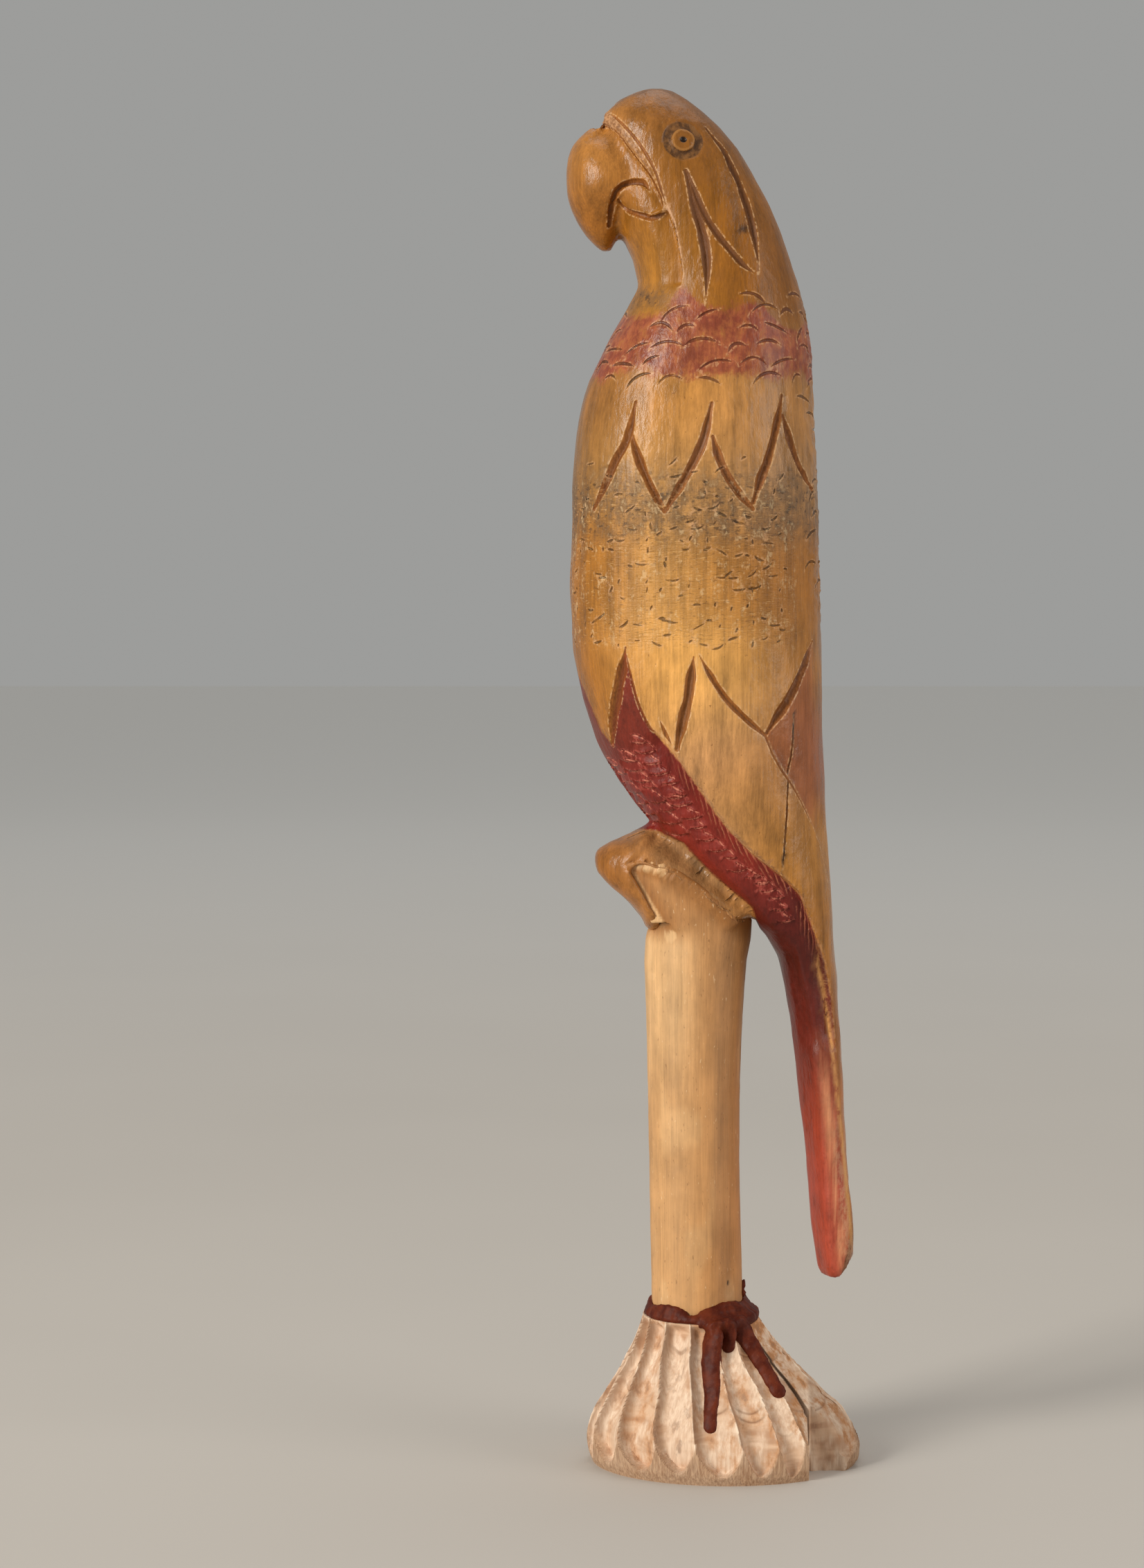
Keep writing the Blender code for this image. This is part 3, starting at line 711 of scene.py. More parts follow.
# Cuts along named lines: width, depth, share of the length that tapers, seed, and share of the
# width kept at the start.
LINE_CUTS = (
    ("cheek", 2.3, 1.0, 0.35, 0, 0.45), ("leaf_front", 1.7, 0.8, 0.2, 1, 0.6),
    ("leaf_back", 2.2, 0.9, 0.3, 2, 0.3), ("cere_front", 1.4, 0.8, 0.1, 3, 0.7),
    ("mandible_top", 1.7, 1.2, 0.2, 3, 0.8), ("mandible_low", 1.4, 0.8, 0.2, 4, 0.4),
    ("throat", 0.9, 0.5, 0.2, 5, 0.0), ("cere_back", 0.7, 0.3, 0.2, 5, 0.0),
    ("back", 1.2, 0.5, 0.2, 5, 0.5), ("nick", 1.1, 0.5, 0.5, 6, 0.0), ("crack", 0.5, 0.6, 0.3, 7, 0.0),
)
# Lines with bare wood beside them: how far it reaches, and how strong it is.
PALE_LINES = (("throat", 1.0, 2.2), ("wing", 0.8, 0.5), ("leg", 0.9, 0.5), ("toe", 1.1, 1.2))
LOWER_CUT_WIDTHS = (3.0, 0.7, 2.6, 1.6, 2.6)


def area_distance(points, outline):
    """Distance in the XZ plane to a closed outline, positive inside it."""
    flat = points[:, [0, 2]]
    corners = np.array(outline, float)
    best = np.full(len(flat), 1e9)
    inside = np.zeros(len(flat), bool)
    for a, b in zip(corners, np.roll(corners, -1, axis=0)):
        step = b - a
        t = np.clip(((flat - a) @ step) / (step @ step), 0, 1)
        best = np.minimum(best, np.hypot(*(flat - a - t[:, None] * step).T))
        rise = step[1] if step[1] else 1e-9
        crosses = (a[1] > flat[:, 1]) != (b[1] > flat[:, 1])
        inside ^= crosses & (flat[:, 0] < a[0] + (flat[:, 1] - a[1]) / rise * step[0])
    return np.where(inside, best, -best)


def palette(points, tints):
    """A smooth colour over the bird's side from a few named places."""
    total = np.zeros((len(points), 3))
    weights = np.full(len(points), 1e-9)
    for (x, z), colour in tints:
        square = (points[:, 0] - x) ** 2 + (points[:, 2] - z) ** 2
        weight = np.exp(-square / (2 * TINT_REACH**2)) + 1e-9
        total += weight[:, None] * srgb(*colour)
        weights += weight
    return total / weights[:, None] * UNDER_VARNISH


def cere_depth(points):
    """How far inside the rough band over the beak each point is, up to 2 mm."""
    z = points[:, 2]
    inside = area_distance(points, CERE_AREA) - 0.9 * ramp(z, 329, 323)
    return np.where(z > 304, np.clip(inside, -2, 2), -2)


def shape_tail(points):
    """Planes the tail to a ridge on each side, so that its front face narrows forwards."""
    x, y, z = points.T
    share = ramp(z, 136, 112)
    front = np.interp(z, TAIL_HEIGHTS, TAIL_FRONT)
    ridge = np.interp(z, TAIL_HEIGHTS, TAIL_RIDGE)
    narrow = FRONT_SHARE + (1 - FRONT_SHARE) * np.clip((x - front) / (ridge - front), 0, 1)
    points = points.copy()
    points[:, 1] = y * (1 - share * (1 - narrow))
    low = z < 70
    back = TIP_BACK + 0.10 * (70 - z[low]) - 0.7 * ramp(z[low], 60, 50)
    points[low, 0] = np.minimum(x[low], back)
    points[:, 2] = np.maximum(z, TAIL_TIP + np.maximum(0, 1.6 * (x - 35.2)) * (z < 62))
    return points


def settled(tree, path):
    """A path moved onto a surface."""
    return np.array([tree.find_nearest(Vector(spot))[0] for spot in path])


def outer_hit(tree, angle, z):
    """The outside point and its normal at an angle round the bird, 0 at its back."""
    away = Vector((math.cos(angle), math.sin(angle), 0))
    return tree.ray_cast(Vector((BIRD_MIDDLE, 0, z)) + away * ROUND_BIRD, -away)[:2]


def stroke(tree, at, normal, length, bend, tilt):
    """A short knife stroke laid on the surface; its ends rise by bend above its middle."""
    level = Vector((0, 0, 1)).cross(normal).normalized()
    up = normal.cross(level)
    across = level * math.cos(tilt) + up * math.sin(tilt)
    rise = up * math.cos(tilt) - level * math.sin(tilt)
    shares = np.linspace(-1, 1, 11)
    return settled(tree, [at + across * (s * length / 2) + rise * (bend * (s * s - 0.4)) for s in shares])


def row_places(tree, rng, rows, gap, reach_at, turn, shift):
    """Places and normals in staggered rows round the bird, each a little off its row; some are
    skipped. reach_at gives a row's first and last angle and the share skipped, from its height."""
    for row, z in enumerate(rows):
        low, high, skip = reach_at(z)
        for angle in np.arange(low, high, gap) + (row % 2) * gap / 2:
            if rng.uniform() < skip:
                continue
            at, normal = outer_hit(tree, angle + rng.uniform(-turn, turn), z + rng.uniform(-shift, shift))
            if at is not None:
                yield at, normal


def scale_reach(z):
    """All round the collar, less and less over the nape, and a strip down the back."""
    span = math.pi if z < NAPE_FOOT else math.radians(200 - 0.48 * z)
    return (-span, span, 0.30) if z > COLLAR_FOOT else (-BACK_STRIP, BACK_STRIP, 0.4)


def scale_strokes(tree, rng):
    """Scale cuts, like fish scales, round the collar, over the nape and down the back."""
    found = []
    for at, normal in row_places(tree, rng, SCALE_ROWS, SCALE_GAP, scale_reach, 0.06, 0.8):
        length, bend = rng.uniform(5.0, 11.0), -rng.uniform(0.4, 2.5)
        path = stroke(tree, at, normal, length, bend, rng.normal(0.05, 0.28))
        found.append((path, rng.uniform(0.48, 0.80), rng.uniform(0.24, 0.46)))
    return found


def tick_reach(z):
    """Round the belly and the sides, sparse at the top."""
    return TICK_EDGE, 2 * math.pi - TICK_EDGE, 0.15 if z < TICKS_SPARSE else 0.6


def tick_strokes(tree, rng):
    """Short dark nicks in rows over the belly, about a third of them upright."""
    found = []
    for at, normal in row_places(tree, rng, TICK_ROWS, TICK_GAP, tick_reach, 0.05, 1.7):
        if rng.uniform() < 0.35:
            shape = rng.uniform(0.8, 2.2), rng.uniform(-0.3, 0.3), rng.uniform(0.9, 1.9)
        else:
            shape = rng.uniform(1.2, 4.4), rng.uniform(-0.3, 0.7), rng.normal(0.05, 0.3)
        path = stroke(tree, at, normal, *shape)
        found.append((path, rng.uniform(0.34, 0.60), rng.uniform(0.18, 0.38)))
    return found


def strip_scales(rng):
    """Pointed scales in columns down the red strip, as an upper and a lower (x, z) line each."""
    edge = curve_through(WING_EDGE, 0.5)
    steps = np.diff(edge, axis=0)
    walked = np.concatenate([[0], np.cumsum(np.linalg.norm(steps, axis=1))])
    found = []
    for column, below in enumerate(STRIP_COLUMNS):
        for s in np.arange(2.0 + (column % 2) * 1.6, STRIP_LENGTH, 3.2):
            k = int(np.searchsorted(walked, s + rng.uniform(-0.5, 0.5)))
            along = steps[k] / np.linalg.norm(steps[k])
            tip = edge[k] + (below + rng.uniform(-0.4, 0.4)) * np.array((along[1], -along[0]))
            ends = np.array([[tip[0] - back, 0.0, tip[1]] for back in (0.0, 4.0)])
            if area_distance(ends, RED_AREA).min() < 1.4:
                continue
            size = rng.uniform(0.8, 1.15)
            found.append([tip + size * np.array(line) for line in (SCALE_TOP, SCALE_LOW)])
    return found


def parrot():
    rng = np.random.default_rng(3)
    points, tris = voxel_copy("parrot_body", 1.05)
    x, _, z = points.T
    fine = (z < TAIL_END) | ((z < FEET_TOP) & (x < FEET_BACK))
    points = shape_tail(smoothed(points, tris, 5, np.where(fine, 0.3, 1.0)))
    tree = surface_of(points, tris)
    lines = {
        "cheek": CHEEK_FRONT, "leaf_front": LEAF_FRONT, "leaf_back": LEAF_BACK, "cere_front": CERE_FRONT,
        "cere_back": CERE_BACK, "throat": THROAT_EDGE, "mandible_top": MANDIBLE_TOP, "wing": WING_EDGE,
        "mandible_low": MANDIBLE_LOW, "nick": NICK, "crack": CRACK, "back": BACK_EDGE, "strip": STRIP_LOW,
        "leg": LEG_EDGE, "toe": TOE_EDGE,
    }
    lines |= {name: ((x, z), (x + 0.01, z)) for name, (x, z) in (("eye", EYE), ("freckle", FRECKLE))}
    lines |= {f"upper_{k}": line for k, line in enumerate(UPPER_CUTS)}
    lines |= {f"lower_{k}": line for k, line in enumerate(LOWER_CUTS)}
    paths = {(name, side): lifted(tree, line, side) for name, line in lines.items() for side in (-1, 1)}
    strokes = scale_strokes(tree, rng) + tick_strokes(tree, rng)
    ledges = []
    for side in (-1, 1):
        for high, low in strip_scales(rng):
            high, low = lifted(tree, high, side, 0.6), lifted(tree, low, side, 0.6)
            strokes += [(high, 0.55, 0.25), (low, 0.65, 0.30)]
            ledges.append((low, side))
    for reach in (2.4, 1.5):
        wanted = np.zeros(len(points), bool)
        for (name, _), path in paths.items():
            wanted[near_path(points, path, 6.5 if name == "eye" else reach)[0]] = True
        for path, _, _ in strokes:
            wanted[near_path(points, path, 0.5 * reach + 0.3)[0]] = True
        points, tris = refined(points, tris, wanted)
        points = smoothed(points, tris, 1, np.where(points[:, 2] < TAIL_END, 0.2, 1.0))
    c = Carving(points, tris)
    carve_parrot(c, paths, strokes, ledges)
    paint_parrot(c, paths)
    return piece_from("carved_parrot", c, parrot_look(), "parrot_body")


def carve_parrot(c, paths, strokes, ledges):
    """Knife facets, the steps between feathered parts, and every cut."""
    x, y, z = c.points.T
    outside = np.hypot(x, y) > BORE_CLEAR
    waves = 0.20 * noise(c.points, 8.0, 1) + 0.09 * noise(c.points, (3.5, 3.5, 9.0), 2)
    waves += 0.03 * noise(c.points, 1.6, 3)
    serrated = 0.30 * noise(c.points, (2.0, 2.0, 1.2), 4)
    serrated = serrated * ramp(x, 22, 27) * ramp(z, 200, 215) * ramp(z, 302, 290)
    tail_cuts = 0.16 * noise(c.points, (2.5, 2.5, 6.0), 5) * ramp(z, 150, 125) * ramp(x, 16, 20)
    c.shift += np.where(outside, waves + serrated + tail_cuts, 0)
    c.shift += 0.7 * ramp(area_distance(c.points, MANDIBLE_AREA), -0.4, 1.4)
    for side in (-1, 1):
        right = side < 0
        c.step(paths["cere_front", side], 1.1, 8.0, right, 0.4, 0.03)
        c.step(paths["throat", side], 1.4, 6.0, right, 0.4, 0.08)
        c.step(paths["wing", side], 1.7, 9.0, right, 0.6, 0.05)
        c.step(paths["back", side], 0.7, 7.0, not right, 0.6, 0.10)
    before = c.shift.copy()
    for path, side in ledges:
        c.step(path, 0.5, 2.6, side < 0, 0.3, 0.15)
    c.shift = before + (c.shift - before) * ramp(area_distance(c.points, RED_AREA), 0.4, 1.6)
    band = ramp(cere_depth(c.points), -0.3, 0.5)
    c.shift += band * (0.35 + 0.30 * noise(c.points, 1.2, 6))
    c.shift -= outside * ramp(area_distance(c.points, LEG_AREA), -0.5, 0.8)
    c.apply()
    tree = surface_of(c.points, c.tris)
    paths.update({key: settled(tree, path) for key, path in paths.items()})
    strokes = [(settled(tree, path), width, depth) for path, width, depth in strokes]
    for side in (-1, 1):
        seed = 10 if side < 0 else 40
        for name, width, depth, taper, number, start in LINE_CUTS:
            c.groove(paths[name, side], width, depth, taper, seed + number, start)
        for k in range(len(UPPER_CUTS)):
            c.groove(paths[f"upper_{k}", side], 2.3, 1.0, 0.25, seed + 8 + k, start=0.35, end=0.5)
        for k, width in enumerate(LOWER_CUT_WIDTHS):
            depth = 0.35 + 0.3 * width
            c.groove(paths[f"lower_{k}", side], width, depth, 0.25, seed + 15 + k, start=0.2, end=0.5)
        eye = paths["eye", side].mean(axis=0)
        away = np.linalg.norm(c.points - eye, axis=1)
        uneven = away + noise(c.points, 1.3, seed + 21) * 0.3
        ring = ramp(uneven, 2.7, 3.2) * ramp(uneven, 5.4, 4.3)
        c.shift -= 0.6 * ring + 0.5 * ramp(away, 1.0, 0.4)
        eye_field = c.field("eye", 9.0)
        eye_field[:] = np.minimum(eye_field, away)
    for number, (path, width, depth) in enumerate(strokes):
        c.groove(path, width, depth, 0.35, 100 + number % 30, field="scratch")
    c.apply()


def paint_parrot(c, paths):
    """The stains, wear and dirt, and painted shade in the crack, as fields for the material."""
    x, y, z = c.points.T
    c.tints["tint"] = palette(c.points, TINTS)
    c.tints["red_tint"] = palette(c.points, RED_TINTS)
    c.fields["red"] = np.clip(area_distance(c.points, RED_AREA), -4, 4)
    top = 281.5 + 3.0 * noise(c.points, 7.0, 61) - 4.0 * ramp(x, 12, 24)
    tab = 4.5 * bell(x, -4, 3.0)
    low = 265.5 + 2.4 * noise(c.points, 4.0, 60)
    c.fields["rust"] = np.clip(np.minimum(z - low, top + tab - z), -4, 4)
    c.fields["head"] = ramp(z, 258, 266) * ramp(x, -13, -6)
    c.fields["cere"] = cere_depth(c.points)
    c.fields["ticks"] = ramp(z, 199, 205) * ramp(z, 247, 234) * ramp(x, 26, 20)
    c.fields["russet"] = np.clip(area_distance(c.points, RUSSET_AREA), -4, 4)
    c.fields["faded"] = np.maximum(ramp(z, 168, 200), ramp(z, 178, 150)) * ramp(x, 24.5, 30)
    belly, throat = ramp(z, 223, 231) * ramp(z, 250, 236), ramp(z, 281, 284) * ramp(z, 289, 286)
    c.fields["smudge"] = np.clip(belly + throat * ramp(x, -6, -11), 0, 1)
    from_back = np.interp(z, TAIL_HEIGHTS, TAIL_FRONT) + TAIL_DEPTH - x
    c.fields["streak"] = bell(from_back, 3.4, 1.3) * ramp(z, 112, 84)
    c.fields["gold"] = bell(from_back, 0.9, 0.5) * ramp(z, 132, 120) * ramp(z, 50, 60)
    pale = c.field("pale")
    dark = c.field("dark")
    for side in (-1, 1):
        for name, reach, amount in PALE_LINES:
            rows, distance, _, _, _ = near_path(c.points, paths[name, side], reach)
            pale[rows] = np.maximum(pale[rows], amount * (1 - distance / reach))
        # The crack is painted dark down its middle: painted shade. The freckle is a dark spot of its own.
        rows, distance, share, _, _ = near_path(c.points, paths["crack", side], 2.0)
        ends = ramp(share * (1 - share), 0.0, 0.02)
        dark[rows] = np.maximum(dark[rows], ramp(distance, 0.36, 0.14) * ends)
        speck = np.linalg.norm(c.points - paths["freckle", side].mean(axis=0), axis=1)
        dark += 0.85 * ramp(speck, 1.25, 0.85)
    pale += 0.7 * bell(from_back, 2.0, 1.1) * ramp(z, 92, 76) * (x > 24)
    walked, below, hatch = (c.field(name) for name in ("strip_s", "strip_t", "hatch"))
    for side in (-1, 1):
        path = paths["wing", side]
        rows, distance, share, _, _ = near_path(c.points, path, 8.0)
        keep = (c.points[rows, 1] * side > -1.0) & (c.fields["red"][rows] > -0.5)
        rows, distance, share = rows[keep], distance[keep], share[keep]
        walked[rows] = share * np.linalg.norm(np.diff(path, axis=0), axis=1).sum()
        below[rows] = distance
        hatch[rows] = ramp(distance, 3.4, 2.4) * ramp(share, 0.05, 0.2) * ramp(share, 0.8, 0.6)


# --- Handle -------------------------------------------------------------------------------------
SEAM_FILL = 2.1  # closes the drawn gap between the stick's top and the parrot, in mm
TENON_CLEAR = 9.4  # the hidden tenon is inside this radius, and keeps its size
DEEP_NICK = ((7.9, 46.6), (7.6, 44.6))
# Chips in the stick's top: x, z, radius and the width of the soft rim.
CHIPS = ((-6.6, 131.2, 1.5, 0.5), (-10.5, 121.0, 1.0, 0.4))
# Where the stick's top meets the parrot's toes and legs, in x and z.
STUB_EDGE = (
    (14.0, 131.4), (9.2, 134.0), (4.5, 137.9), (-0.9, 142.3), (-6.3, 145.9), (-9.8, 147.4),
    (-13.1, 148.2), (-17.2, 148.4), (-14.7, 144.3), (-12.1, 139.8), (-8.4, 133.6),
)
STUB_AREA = (*STUB_EDGE, (0.0, 120.0))


def handle():
    points, tris = voxel_copy("handle", 0.6)
    points = smoothed(points, tris, 3)
    c = Carving(points, tris)
    x, y, z = c.points.T
    bare = ramp(z, 37, 41) * ramp(z, 134, 130)
    facets = np.abs(np.sin(3.5 * np.arctan2(y, x) + 0.6 * noise(c.points, (30, 30, 60), 71)))
    waves = 0.14 * noise(c.points, (9, 9, 22), 72) + 0.05 * noise(c.points, 2.5, 73)
    c.shift += bare * (0.14 * facets + waves)
    stub = ramp(z, 132, 134) * (np.hypot(x, y) > TENON_CLEAR)
    c.points += (SEAM_FILL * stub)[:, None] * c.normals * (1.0, 0.0, 1.0)
    edge = area_distance(c.points, STUB_AREA)
    c.points[:, 1] *= 1 + 0.045 * stub * ramp(edge, 2.2, 0.0)
    shoulder = ramp(z, 129.4, 131.0) * ramp(z, 134.5, 133)
    under_toe = 1.2 * ramp(x, -5.5, -7.5) + 1.8 * bell(x, -8.6, 1.3)
    c.points[:, 2] += shoulder * (3.0 * ramp(x, 8.0, 12.0) + under_toe)
    c.points[:, 0] += shoulder * 0.5 * ramp(x, -9.0, -11.0)
    c.groove(lifted(surface_of(points, tris), DEEP_NICK, -1, 0.4), 0.7, 0.4, 0.4, 74)
    # The nick is painted near black inside: painted shade.
    c.fields["dark"] = ramp(c.fields.pop("cut"), -0.05, 0.1)
    c.apply()
    streaky = ramp(noise(c.points, (7, 7, 26), 75), 0.1, 0.6)
    amber = ramp(z, 128, 136) * (0.25 + 0.75 * ramp(edge, 5.0, 0.5))
    # The brown towards the right side is painted shade on the side away from the key lamp; the brown at the
    # top and in streaks is stain.
    c.fields["brown"] = np.clip(0.9 * amber + 0.35 * streaky + 0.3 * ramp(x, 3, 11), 0, 1)
    # The left side is made paler, more so higher up: painted light on the side facing the key lamp.
    light = (0.35 + 0.5 * ramp(z, 85, 115)) * ramp(x, 4, -6) * ramp(z, 136, 128)
    rim = 0.7 * noise(c.points, 1.2, 77)
    # The top edge of the stub on the left is pale: partly a chipped edge, partly a painted highlight; the
    # chips listed below are chipped wood.
    chip = ramp(edge, 1.0, 0.3) * ramp(z, 133, 135) * ramp(x, -7.0, -9.0)
    for chip_x, chip_z, radius, soft in CHIPS:
        chip += ramp(rim - np.hypot(x - chip_x, z - chip_z), -radius, soft - radius)
    light += 0.3 * ramp(noise(c.points, (4, 4, 14), 76), 0.3, 0.8)
    c.fields["pale"] = np.clip(light * (1 - amber) + 1.2 * chip, 0, 1)
    return piece_from("handle_stick", c, handle_look(), "handle")


# --- Foot ---------------------------------------------------------------------------------------
# Rings of the block: height, left x, right x, half width, in mm.
FOOT_RINGS = (
    (0.0, -25.4, 39.8, 25.8), (3.0, -26.5, 40.8, 27.0), (8.0, -26.7, 40.0, 27.2),
    (13.0, -25.2, 36.4, 25.8), (21.0, -20.2, 28.2, 21.6), (29.0, -15.9, 20.6, 17.2),
    (36.5, -12.9, 15.4, 13.8),
)
# Ridges between the gouge flutes on the near side: degrees round the block at its top and its base.
NEAR_RIDGES = (
    (-172, -160), (-152, -139), (-129, -119), (-103, -101.8), (-80, -84.8), (-60, -69.2), (-42, -57.9),
)
FAR_RIDGES = 11
FOOT_TRIANGLES = 400_000  # the foot isn't thinned before it is cut
FLUTE_DEPTH = 2.9
FLUTE_WALL = 0.07  # the steep left wall of a flute, as a share of its width
FLUTE_WIDTH = 19  # degrees of a flute that is cut to the full depth
SOCKET_RADIUS = 8.3
SOCKET_FLOOR = 15.0
# The crack seen from above: a slit's near side, the lost corner's two sides, and the slit's far side.
SLIT_NEAR = ((12.5, -4.8), (21.4, -8.9), (26.8, -13.2))
LOST_CORNER = ((26.8, -13.2), (26.8, -32.0), (46.0, -32.0), (46.0, -11.8), (27.9, -12.0))
SLIT_FAR = ((27.9, -12.0), (21.2, -7.9), (12.5, -4.8))


def foot_surface(angle, height, rng):
    """Points of the fluted outside, and fields for its material, over grids of angle and height."""
    table = curve_through(FOOT_RINGS, 1.0)
    left, right, half_depth = (np.interp(height, table[:, 0], table[:, k]) for k in (1, 2, 3))
    top_share = height / FOOT_RINGS[-1][0]
    far = [a + rng.uniform(-4, 4) for a in np.linspace(-30, 180, FAR_RIDGES)[1:]]
    ridges = sorted([*NEAR_RIDGES, *((a, a) for a in far)], key=lambda r: r[1])
    lines = [base + (top - base) * top_share for top, base in ridges]
    lines.append(lines[0] + 360)
    spots = np.stack([30 * np.cos(angle), 30 * np.sin(angle), height], axis=-1).reshape(-1, 3)
    degrees = np.degrees(angle) + 1.7 * noise(spots, (9, 9, 7), 84).reshape(angle.shape)
    turned = np.where(degrees < lines[0], degrees + 360, degrees)
    dip = np.zeros_like(angle)
    fields = {name: np.zeros_like(angle) for name in ("ridge", "warm", "stop", "band", "wall")}
    for low, high in zip(lines, lines[1:]):
        inside = (turned >= low) & (turned < high)
        across = np.clip(2 * (turned - low) / (high - low) - 1, -1, 1)
        end = rng.uniform(1.6, 3.4) + rng.uniform(5.5, 8.0) * across**2
        share = ramp(height, end - 0.5, end + 0.6)
        part = (across + 1) / 2
        depth = FLUTE_DEPTH * min(1.2, float(np.mean(high - low)) / FLUTE_WIDTH)
        depth = depth * (1 - np.exp(-part / FLUTE_WALL)) * (1 - part**2.4)
        for stop in rng.uniform(9, 32, 2):
            at = stop + 2.5 * across**2
            fall = rng.uniform(0.25, 0.6) * (1 - across**2)
            depth = depth + fall * ramp(height, at + 0.3, at - 0.3) * ramp(height, at - 9, at)
            fields["stop"] += inside * bell(height, at, 0.3) * (1 - across**2) * rng.choice([0, 1])
        dip = np.where(inside, share * depth, dip)
        looks = {
            # ridge: a painted highlight on the slope just left of each crest, which faces the key lamp,
            # partly standing for chipped crests.
            "ridge": ramp(part, 0.93, 0.99) * share,
            # wall: painted shade on each flute's steep left wall, which faces away from the key lamp.
            "wall": bell(part, 0, 0.10) * share,
            "warm": rng.choice([0.1, 0.3, 0.8]) + 0.6 * ramp(np.cos(angle), 0.25, 0.6),
            "band": 1 - share,
        }
        for name, values in looks.items():
            fields[name] = np.where(inside, values, fields[name])
    middle, half = (left + right) / 2, (right - left) / 2
    dip = dip * ramp(height, 36.6, 34.0)
    return middle + (half - dip) * np.cos(angle), (half_depth - dip) * np.sin(angle), fields


def foot():
    rng = np.random.default_rng(5)
    columns, rows = ((680, 142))
    top = FOOT_RINGS[-1][0]
    angles = -math.pi + 2 * math.pi * np.arange(columns) / columns
    grid_a, grid_z = np.meshgrid(angles, top * np.linspace(0, 1, rows))
    x, y, fields = foot_surface(grid_a, grid_z, rng)
    points = np.stack([x, y, grid_z], axis=2).reshape(-1, 3)
    points = np.concatenate([points, [[5.0, 0.0, 0.0], [1.0, 0.0, top]]])
    i = np.arange(columns)
    j = (i + 1) % columns
    k = np.arange(rows - 1)[:, None] * columns
    low_i, low_j, high_j, high_i = ((k + v).ravel() for v in (i, j, columns + j, columns + i))
    last = (rows - 1) * columns
    tris = np.concatenate([
        np.stack([low_i, low_j, high_j], 1),
        np.stack([low_i, high_j, high_i], 1),
        np.stack([j, i, np.full(columns, len(points) - 2)], 1),
        np.stack([last + i, last + j, np.full(columns, len(points) - 1)], 1),
    ])
    c = Carving(points, tris)
    for name, values in fields.items():
        c.fields[name] = np.append(values.ravel(), [0.0, 0.0])
    side = ramp(points[:, 2], 0.6, 2.0) * ramp(points[:, 2], top - 0.2, top - 2.0)
    c.shift = side * (0.22 * noise(points, 5.0, 81) + 0.10 * noise(points, (1.6, 1.6, 5.0), 82))
    rear = ramp(points[:, 0], 24, 28)
    c.shift += side * rear * 0.7 * noise(points, (4.0, 4.0, 6.0), 85)
    c.shift -= 0.6 * ramp(noise(points, (2.0, 2.0, 3.5), 83), 0.35, 0.8) * c.fields["ridge"] * side
    c.apply()
    c.fields["crack_shade"] = np.zeros(len(points))
    made = piece_from("gouged_foot", c, foot_look(), "foot", most=FOOT_TRIANGLES)
    cut_away(made, crack_and_socket(top))
    made.data.attributes["crack_shade"].data.foreach_set("value", crack_shade_share(made).astype(np.float32))
    return made


def crack_and_socket(top):
    """The crack, with a rough outer wall that leans in, and the handle's socket, as one cutter."""
    angles = np.arange(48) * math.pi / 24
    socket = SOCKET_RADIUS * np.column_stack([np.cos(angles), np.sin(angles)])
    outline = np.concatenate([spaced(line)[:-1] for line in (SLIT_NEAR, LOST_CORNER, SLIT_FAR)])
    bm = bmesh.new()
    for corners, low, high, rows in ((outline, -2.0, top + 3, 70), (socket, SOCKET_FLOOR, top + 4, 2)):
        rings = []
        for z in np.linspace(low, high, rows):
            spots = np.array([(x, y, z) for x, y in corners])
            if rows > 2:
                wall = (spots[:, 0] > 27.5) & (spots[:, 1] > -20)
                rough = 0.9 * noise(spots, (4.5, 9, 12), 86) + 0.3 * noise(spots, (1.5, 3, 3), 87)
                spots[:, 1] += wall * (0.14 * z + rough)
            rings.append([bm.verts.new(Vector(spot) * MM) for spot in spots])
        for below, above in zip(rings, rings[1:]):
            for i in range(len(corners)):
                j = (i + 1) % len(corners)
                bm.faces.new((below[i], below[j], above[j], above[i]))
        bm.faces.new(rings[0][::-1])
        bm.faces.new(rings[-1])
    bmesh.ops.recalc_face_normals(bm, faces=bm.faces)
    return add_object("cutter", mesh_of(bm, "cutter"))


def cut_away(target, cutter):
    modifier = target.modifiers.new("cut", "BOOLEAN")
    modifier.operation = "DIFFERENCE"
    modifier.solver = "MANIFOLD"
    modifier.object = cutter
    graph = bpy.context.evaluated_depsgraph_get()
    target.data = bpy.data.meshes.new_from_object(target.evaluated_get(graph))
    target.modifiers.clear()
    bpy.data.objects.remove(cutter)
    target.data.shade_smooth()
    target.data.set_sharp_from_angle(angle=math.radians(50))


def crack_shade_share(made):
    """Painted shade for each point: up to 1 in the slit, and some on the lost corner's wall."""
    points = np.empty(len(made.data.vertices) * 3)
    made.data.vertices.foreach_get("co", points)
    points = points.reshape(-1, 3) / MM
    flat = points * (1, 1, 0)
    share = 0.45 * ramp(points[:, 0], 27.2, 28.2) * ramp(points[:, 1], 9, 2)
    for line in (SLIT_NEAR, SLIT_FAR):
        path = np.array([(x, y, 0.0) for x, y in line])
        rows = near_path(flat, path, 0.25)[0]
        share[rows] = np.clip((28.5 - flat[rows, 0]) / 5, 0, 1)
    return share


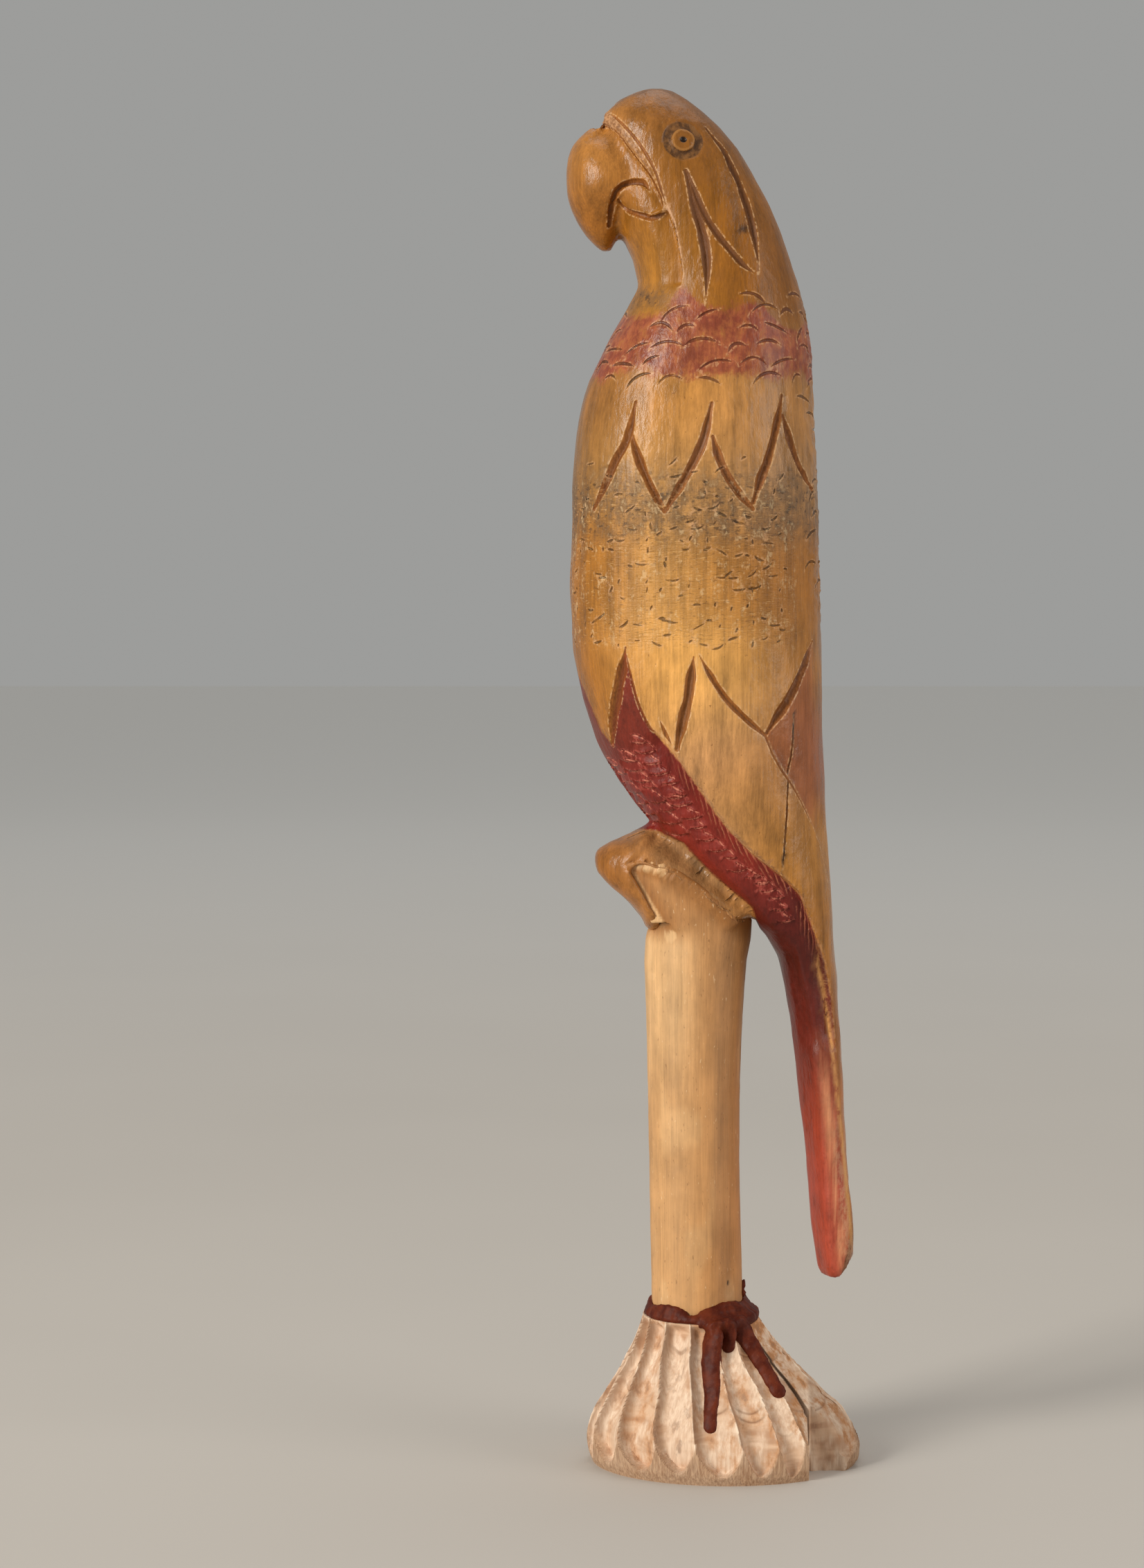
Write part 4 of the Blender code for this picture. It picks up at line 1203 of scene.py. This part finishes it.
# --- Glue ---------------------------------------------------------------------------------------
# Glue runs down the near side of the foot: x, z and half width along each, in mm.
GLUE_RUNS = (
    ((4.6, 35.6, 3.0), (3.8, 33.0, 2.9), (3.3, 28.0, 2.7), (3.4, 22.0, 2.3), (3.0, 17.0, 1.9),
     (2.8, 13.6, 1.8)),
    ((7.2, 35.6, 2.7), (7.5, 33.4, 2.4), (7.4, 31.4, 1.9)),
    ((10.2, 35.6, 2.9), (12.2, 32.4, 2.5), (15.8, 26.8, 2.0), (19.6, 20.8, 1.9)),
)
# A drop on the stick above the bead: out from the stick, y, height over the foot, and radius.
GLUE_DROP = ((0.0, -1.5, 7.2, 0.8), (0.2, -1.3, 8.2, 0.55), (0.0, -1.8, 5.4, 0.9))
GLUE_VOXEL = 0.32
BLOB_PRESS = 0.55
BEAD_BLOBS = 80
POST_CENTRE = 0.5
POST_RADIUS = 11.15


def blob(bm, centre, size, flat=None):
    """A ball of glue; with flat, it is pressed along that direction."""
    for v in bmesh.ops.create_icosphere(bm, subdivisions=2, radius=size)["verts"]:
        if flat is not None:
            v.co -= flat * v.co.dot(flat) * BLOB_PRESS
        v.co += Vector(centre)


def glue(foot_piece):
    tree = BVHTree.FromPolygons(
        [v.co / MM for v in foot_piece.data.vertices], [p.vertices for p in foot_piece.data.polygons]
    )
    rng = np.random.default_rng(11)
    bm = bmesh.new()
    top = FOOT_RINGS[-1][0]
    for k in range(BEAD_BLOBS):
        a = 2 * math.pi * k / BEAD_BLOBS
        to_right = max(0.0, math.cos(a + math.radians(28)))
        dip = float(bell(math.degrees(a), 262, 10))
        low_size = 1.35 + 0.5 * to_right + rng.uniform(-0.15, 0.15) - 0.25 * dip
        low_ring = POST_RADIUS + 0.65 + 0.9 * to_right
        high_size = 0.85 + 0.25 * to_right + rng.uniform(-0.1, 0.15)
        high_ring = POST_RADIUS + 0.15
        rise = 2.6 + 0.7 * to_right - 2.4 * dip + 0.5 * math.sin(5 * a)
        balls = (
            (low_ring, top + 0.7, low_size),
            (high_ring, top + rise, high_size),
            ((low_ring + high_ring) / 2, top + rise / 2 + 0.5, (low_size + high_size) / 2),
        )
        for ring, z, size in balls:
            blob(bm, (POST_CENTRE + ring * math.cos(a), ring * math.sin(a), z), size)
        if to_right > 0.45:
            blob(bm, (1.0 + 13.2 * math.cos(a), 12.7 * math.sin(a), top + 0.1), low_size)
    for away, y, rise, size in GLUE_DROP:
        blob(bm, (POST_CENTRE + POST_RADIUS + away, y, top + rise), size)
    for run in GLUE_RUNS:
        for x, z, half in curve_through(run, 0.5):
            at, normal = tree.ray_cast(Vector((x, -BESIDE_FOOT, z)), Vector((0, 1, 0)))[:2]
            blob(bm, at - normal * 0.1, half * rng.uniform(0.95, 1.05), normal)
    points, tris = remeshed(mesh_of(bm, "glue_blobs"), GLUE_VOXEL)
    points = smoothed(points, tris, 8)
    c = Carving(points, tris)
    c.shift = 0.12 * noise(points, 2.4, 91) + 0.06 * noise(points, 0.9, 92)
    c.apply()
    return piece_from("glue_bead", c, glue_look(), "glue_collar")


def seeds():
    look = seed_look()
    for name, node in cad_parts.items():
        if name.startswith("seed_"):
            node.data.materials.clear()
            node.data.materials.append(look)


# --- Stage --------------------------------------------------------------------------------------
FLOOR_REACH = 6.0
LIGHT_SPREAD = math.radians(90)  # gridded lamps, so that the floor below them has no hot spot
AIM = Vector((0.0, 0.0, 0.17))
# Lamps: place, width and height in m, watts and colour.
LAMPS = {
    "key": ((-1.50, -1.22, 0.90), (0.7, 1.2), 10.1, (1.0, 0.96, 0.89)),
    "fill": ((1.95, -0.95, 0.60), (1.2, 1.8), 6.0, (1.0, 0.96, 0.91)),
    "top": ((0.3, 0.6, 2.1), (1.6, 1.6), 3.3, (1.0, 0.98, 0.96)),
}
ROOM_COLOUR = (0.80, 0.80, 0.78, 1)
ROOM_LIGHT = 0.42
CAMERA_AT = (-0.03048, -0.82, 0.21768)
CAMERA_TILT = math.radians(86.5)
CAMERA_LENS = 77.0


def area_light(name, at, size, watts, colour):
    light = bpy.data.lights.new(name, "AREA")
    light.shape = "RECTANGLE"
    light.size, light.size_y = size
    light.energy = watts
    light.color = colour
    light.spread = LIGHT_SPREAD
    lamp = add_object(name, light)
    lamp.location = at
    lamp.rotation_euler = (AIM - Vector(at)).to_track_quat("-Z", "Y").to_euler()


def stage():
    corners = [(x * FLOOR_REACH, y * FLOOR_REACH, 0) for x, y in ((-1, -1), (1, -1), (1, 1), (-1, 1))]
    mesh = bpy.data.meshes.new("floor")
    mesh.from_pydata(corners, [], [(0, 1, 2, 3)])
    mesh.materials.append(floor_look())
    floor = add_object("floor", mesh)
    for name, lamp in LAMPS.items():
        area_light(name, *lamp)
    world = bpy.data.worlds.new("studio")
    world.use_nodes = True
    background = world.node_tree.nodes["Background"]
    background.inputs["Color"].default_value = ROOM_COLOUR
    background.inputs["Strength"].default_value = ROOM_LIGHT
    bpy.context.scene.world = world
    bpy.context.scene.view_settings.view_transform = "Standard"

    camera = bpy.data.cameras.new("camera")
    camera.sensor_fit = "VERTICAL"
    camera.sensor_height = 36.0
    camera.lens = CAMERA_LENS
    camera.clip_start = 0.01
    view = add_object("camera", camera)
    view.location = CAMERA_AT
    view.rotation_euler = (CAMERA_TILT, 0, 0)
    bpy.context.scene.camera = view


parrot()
handle()
glue(foot())
seeds()
stage()
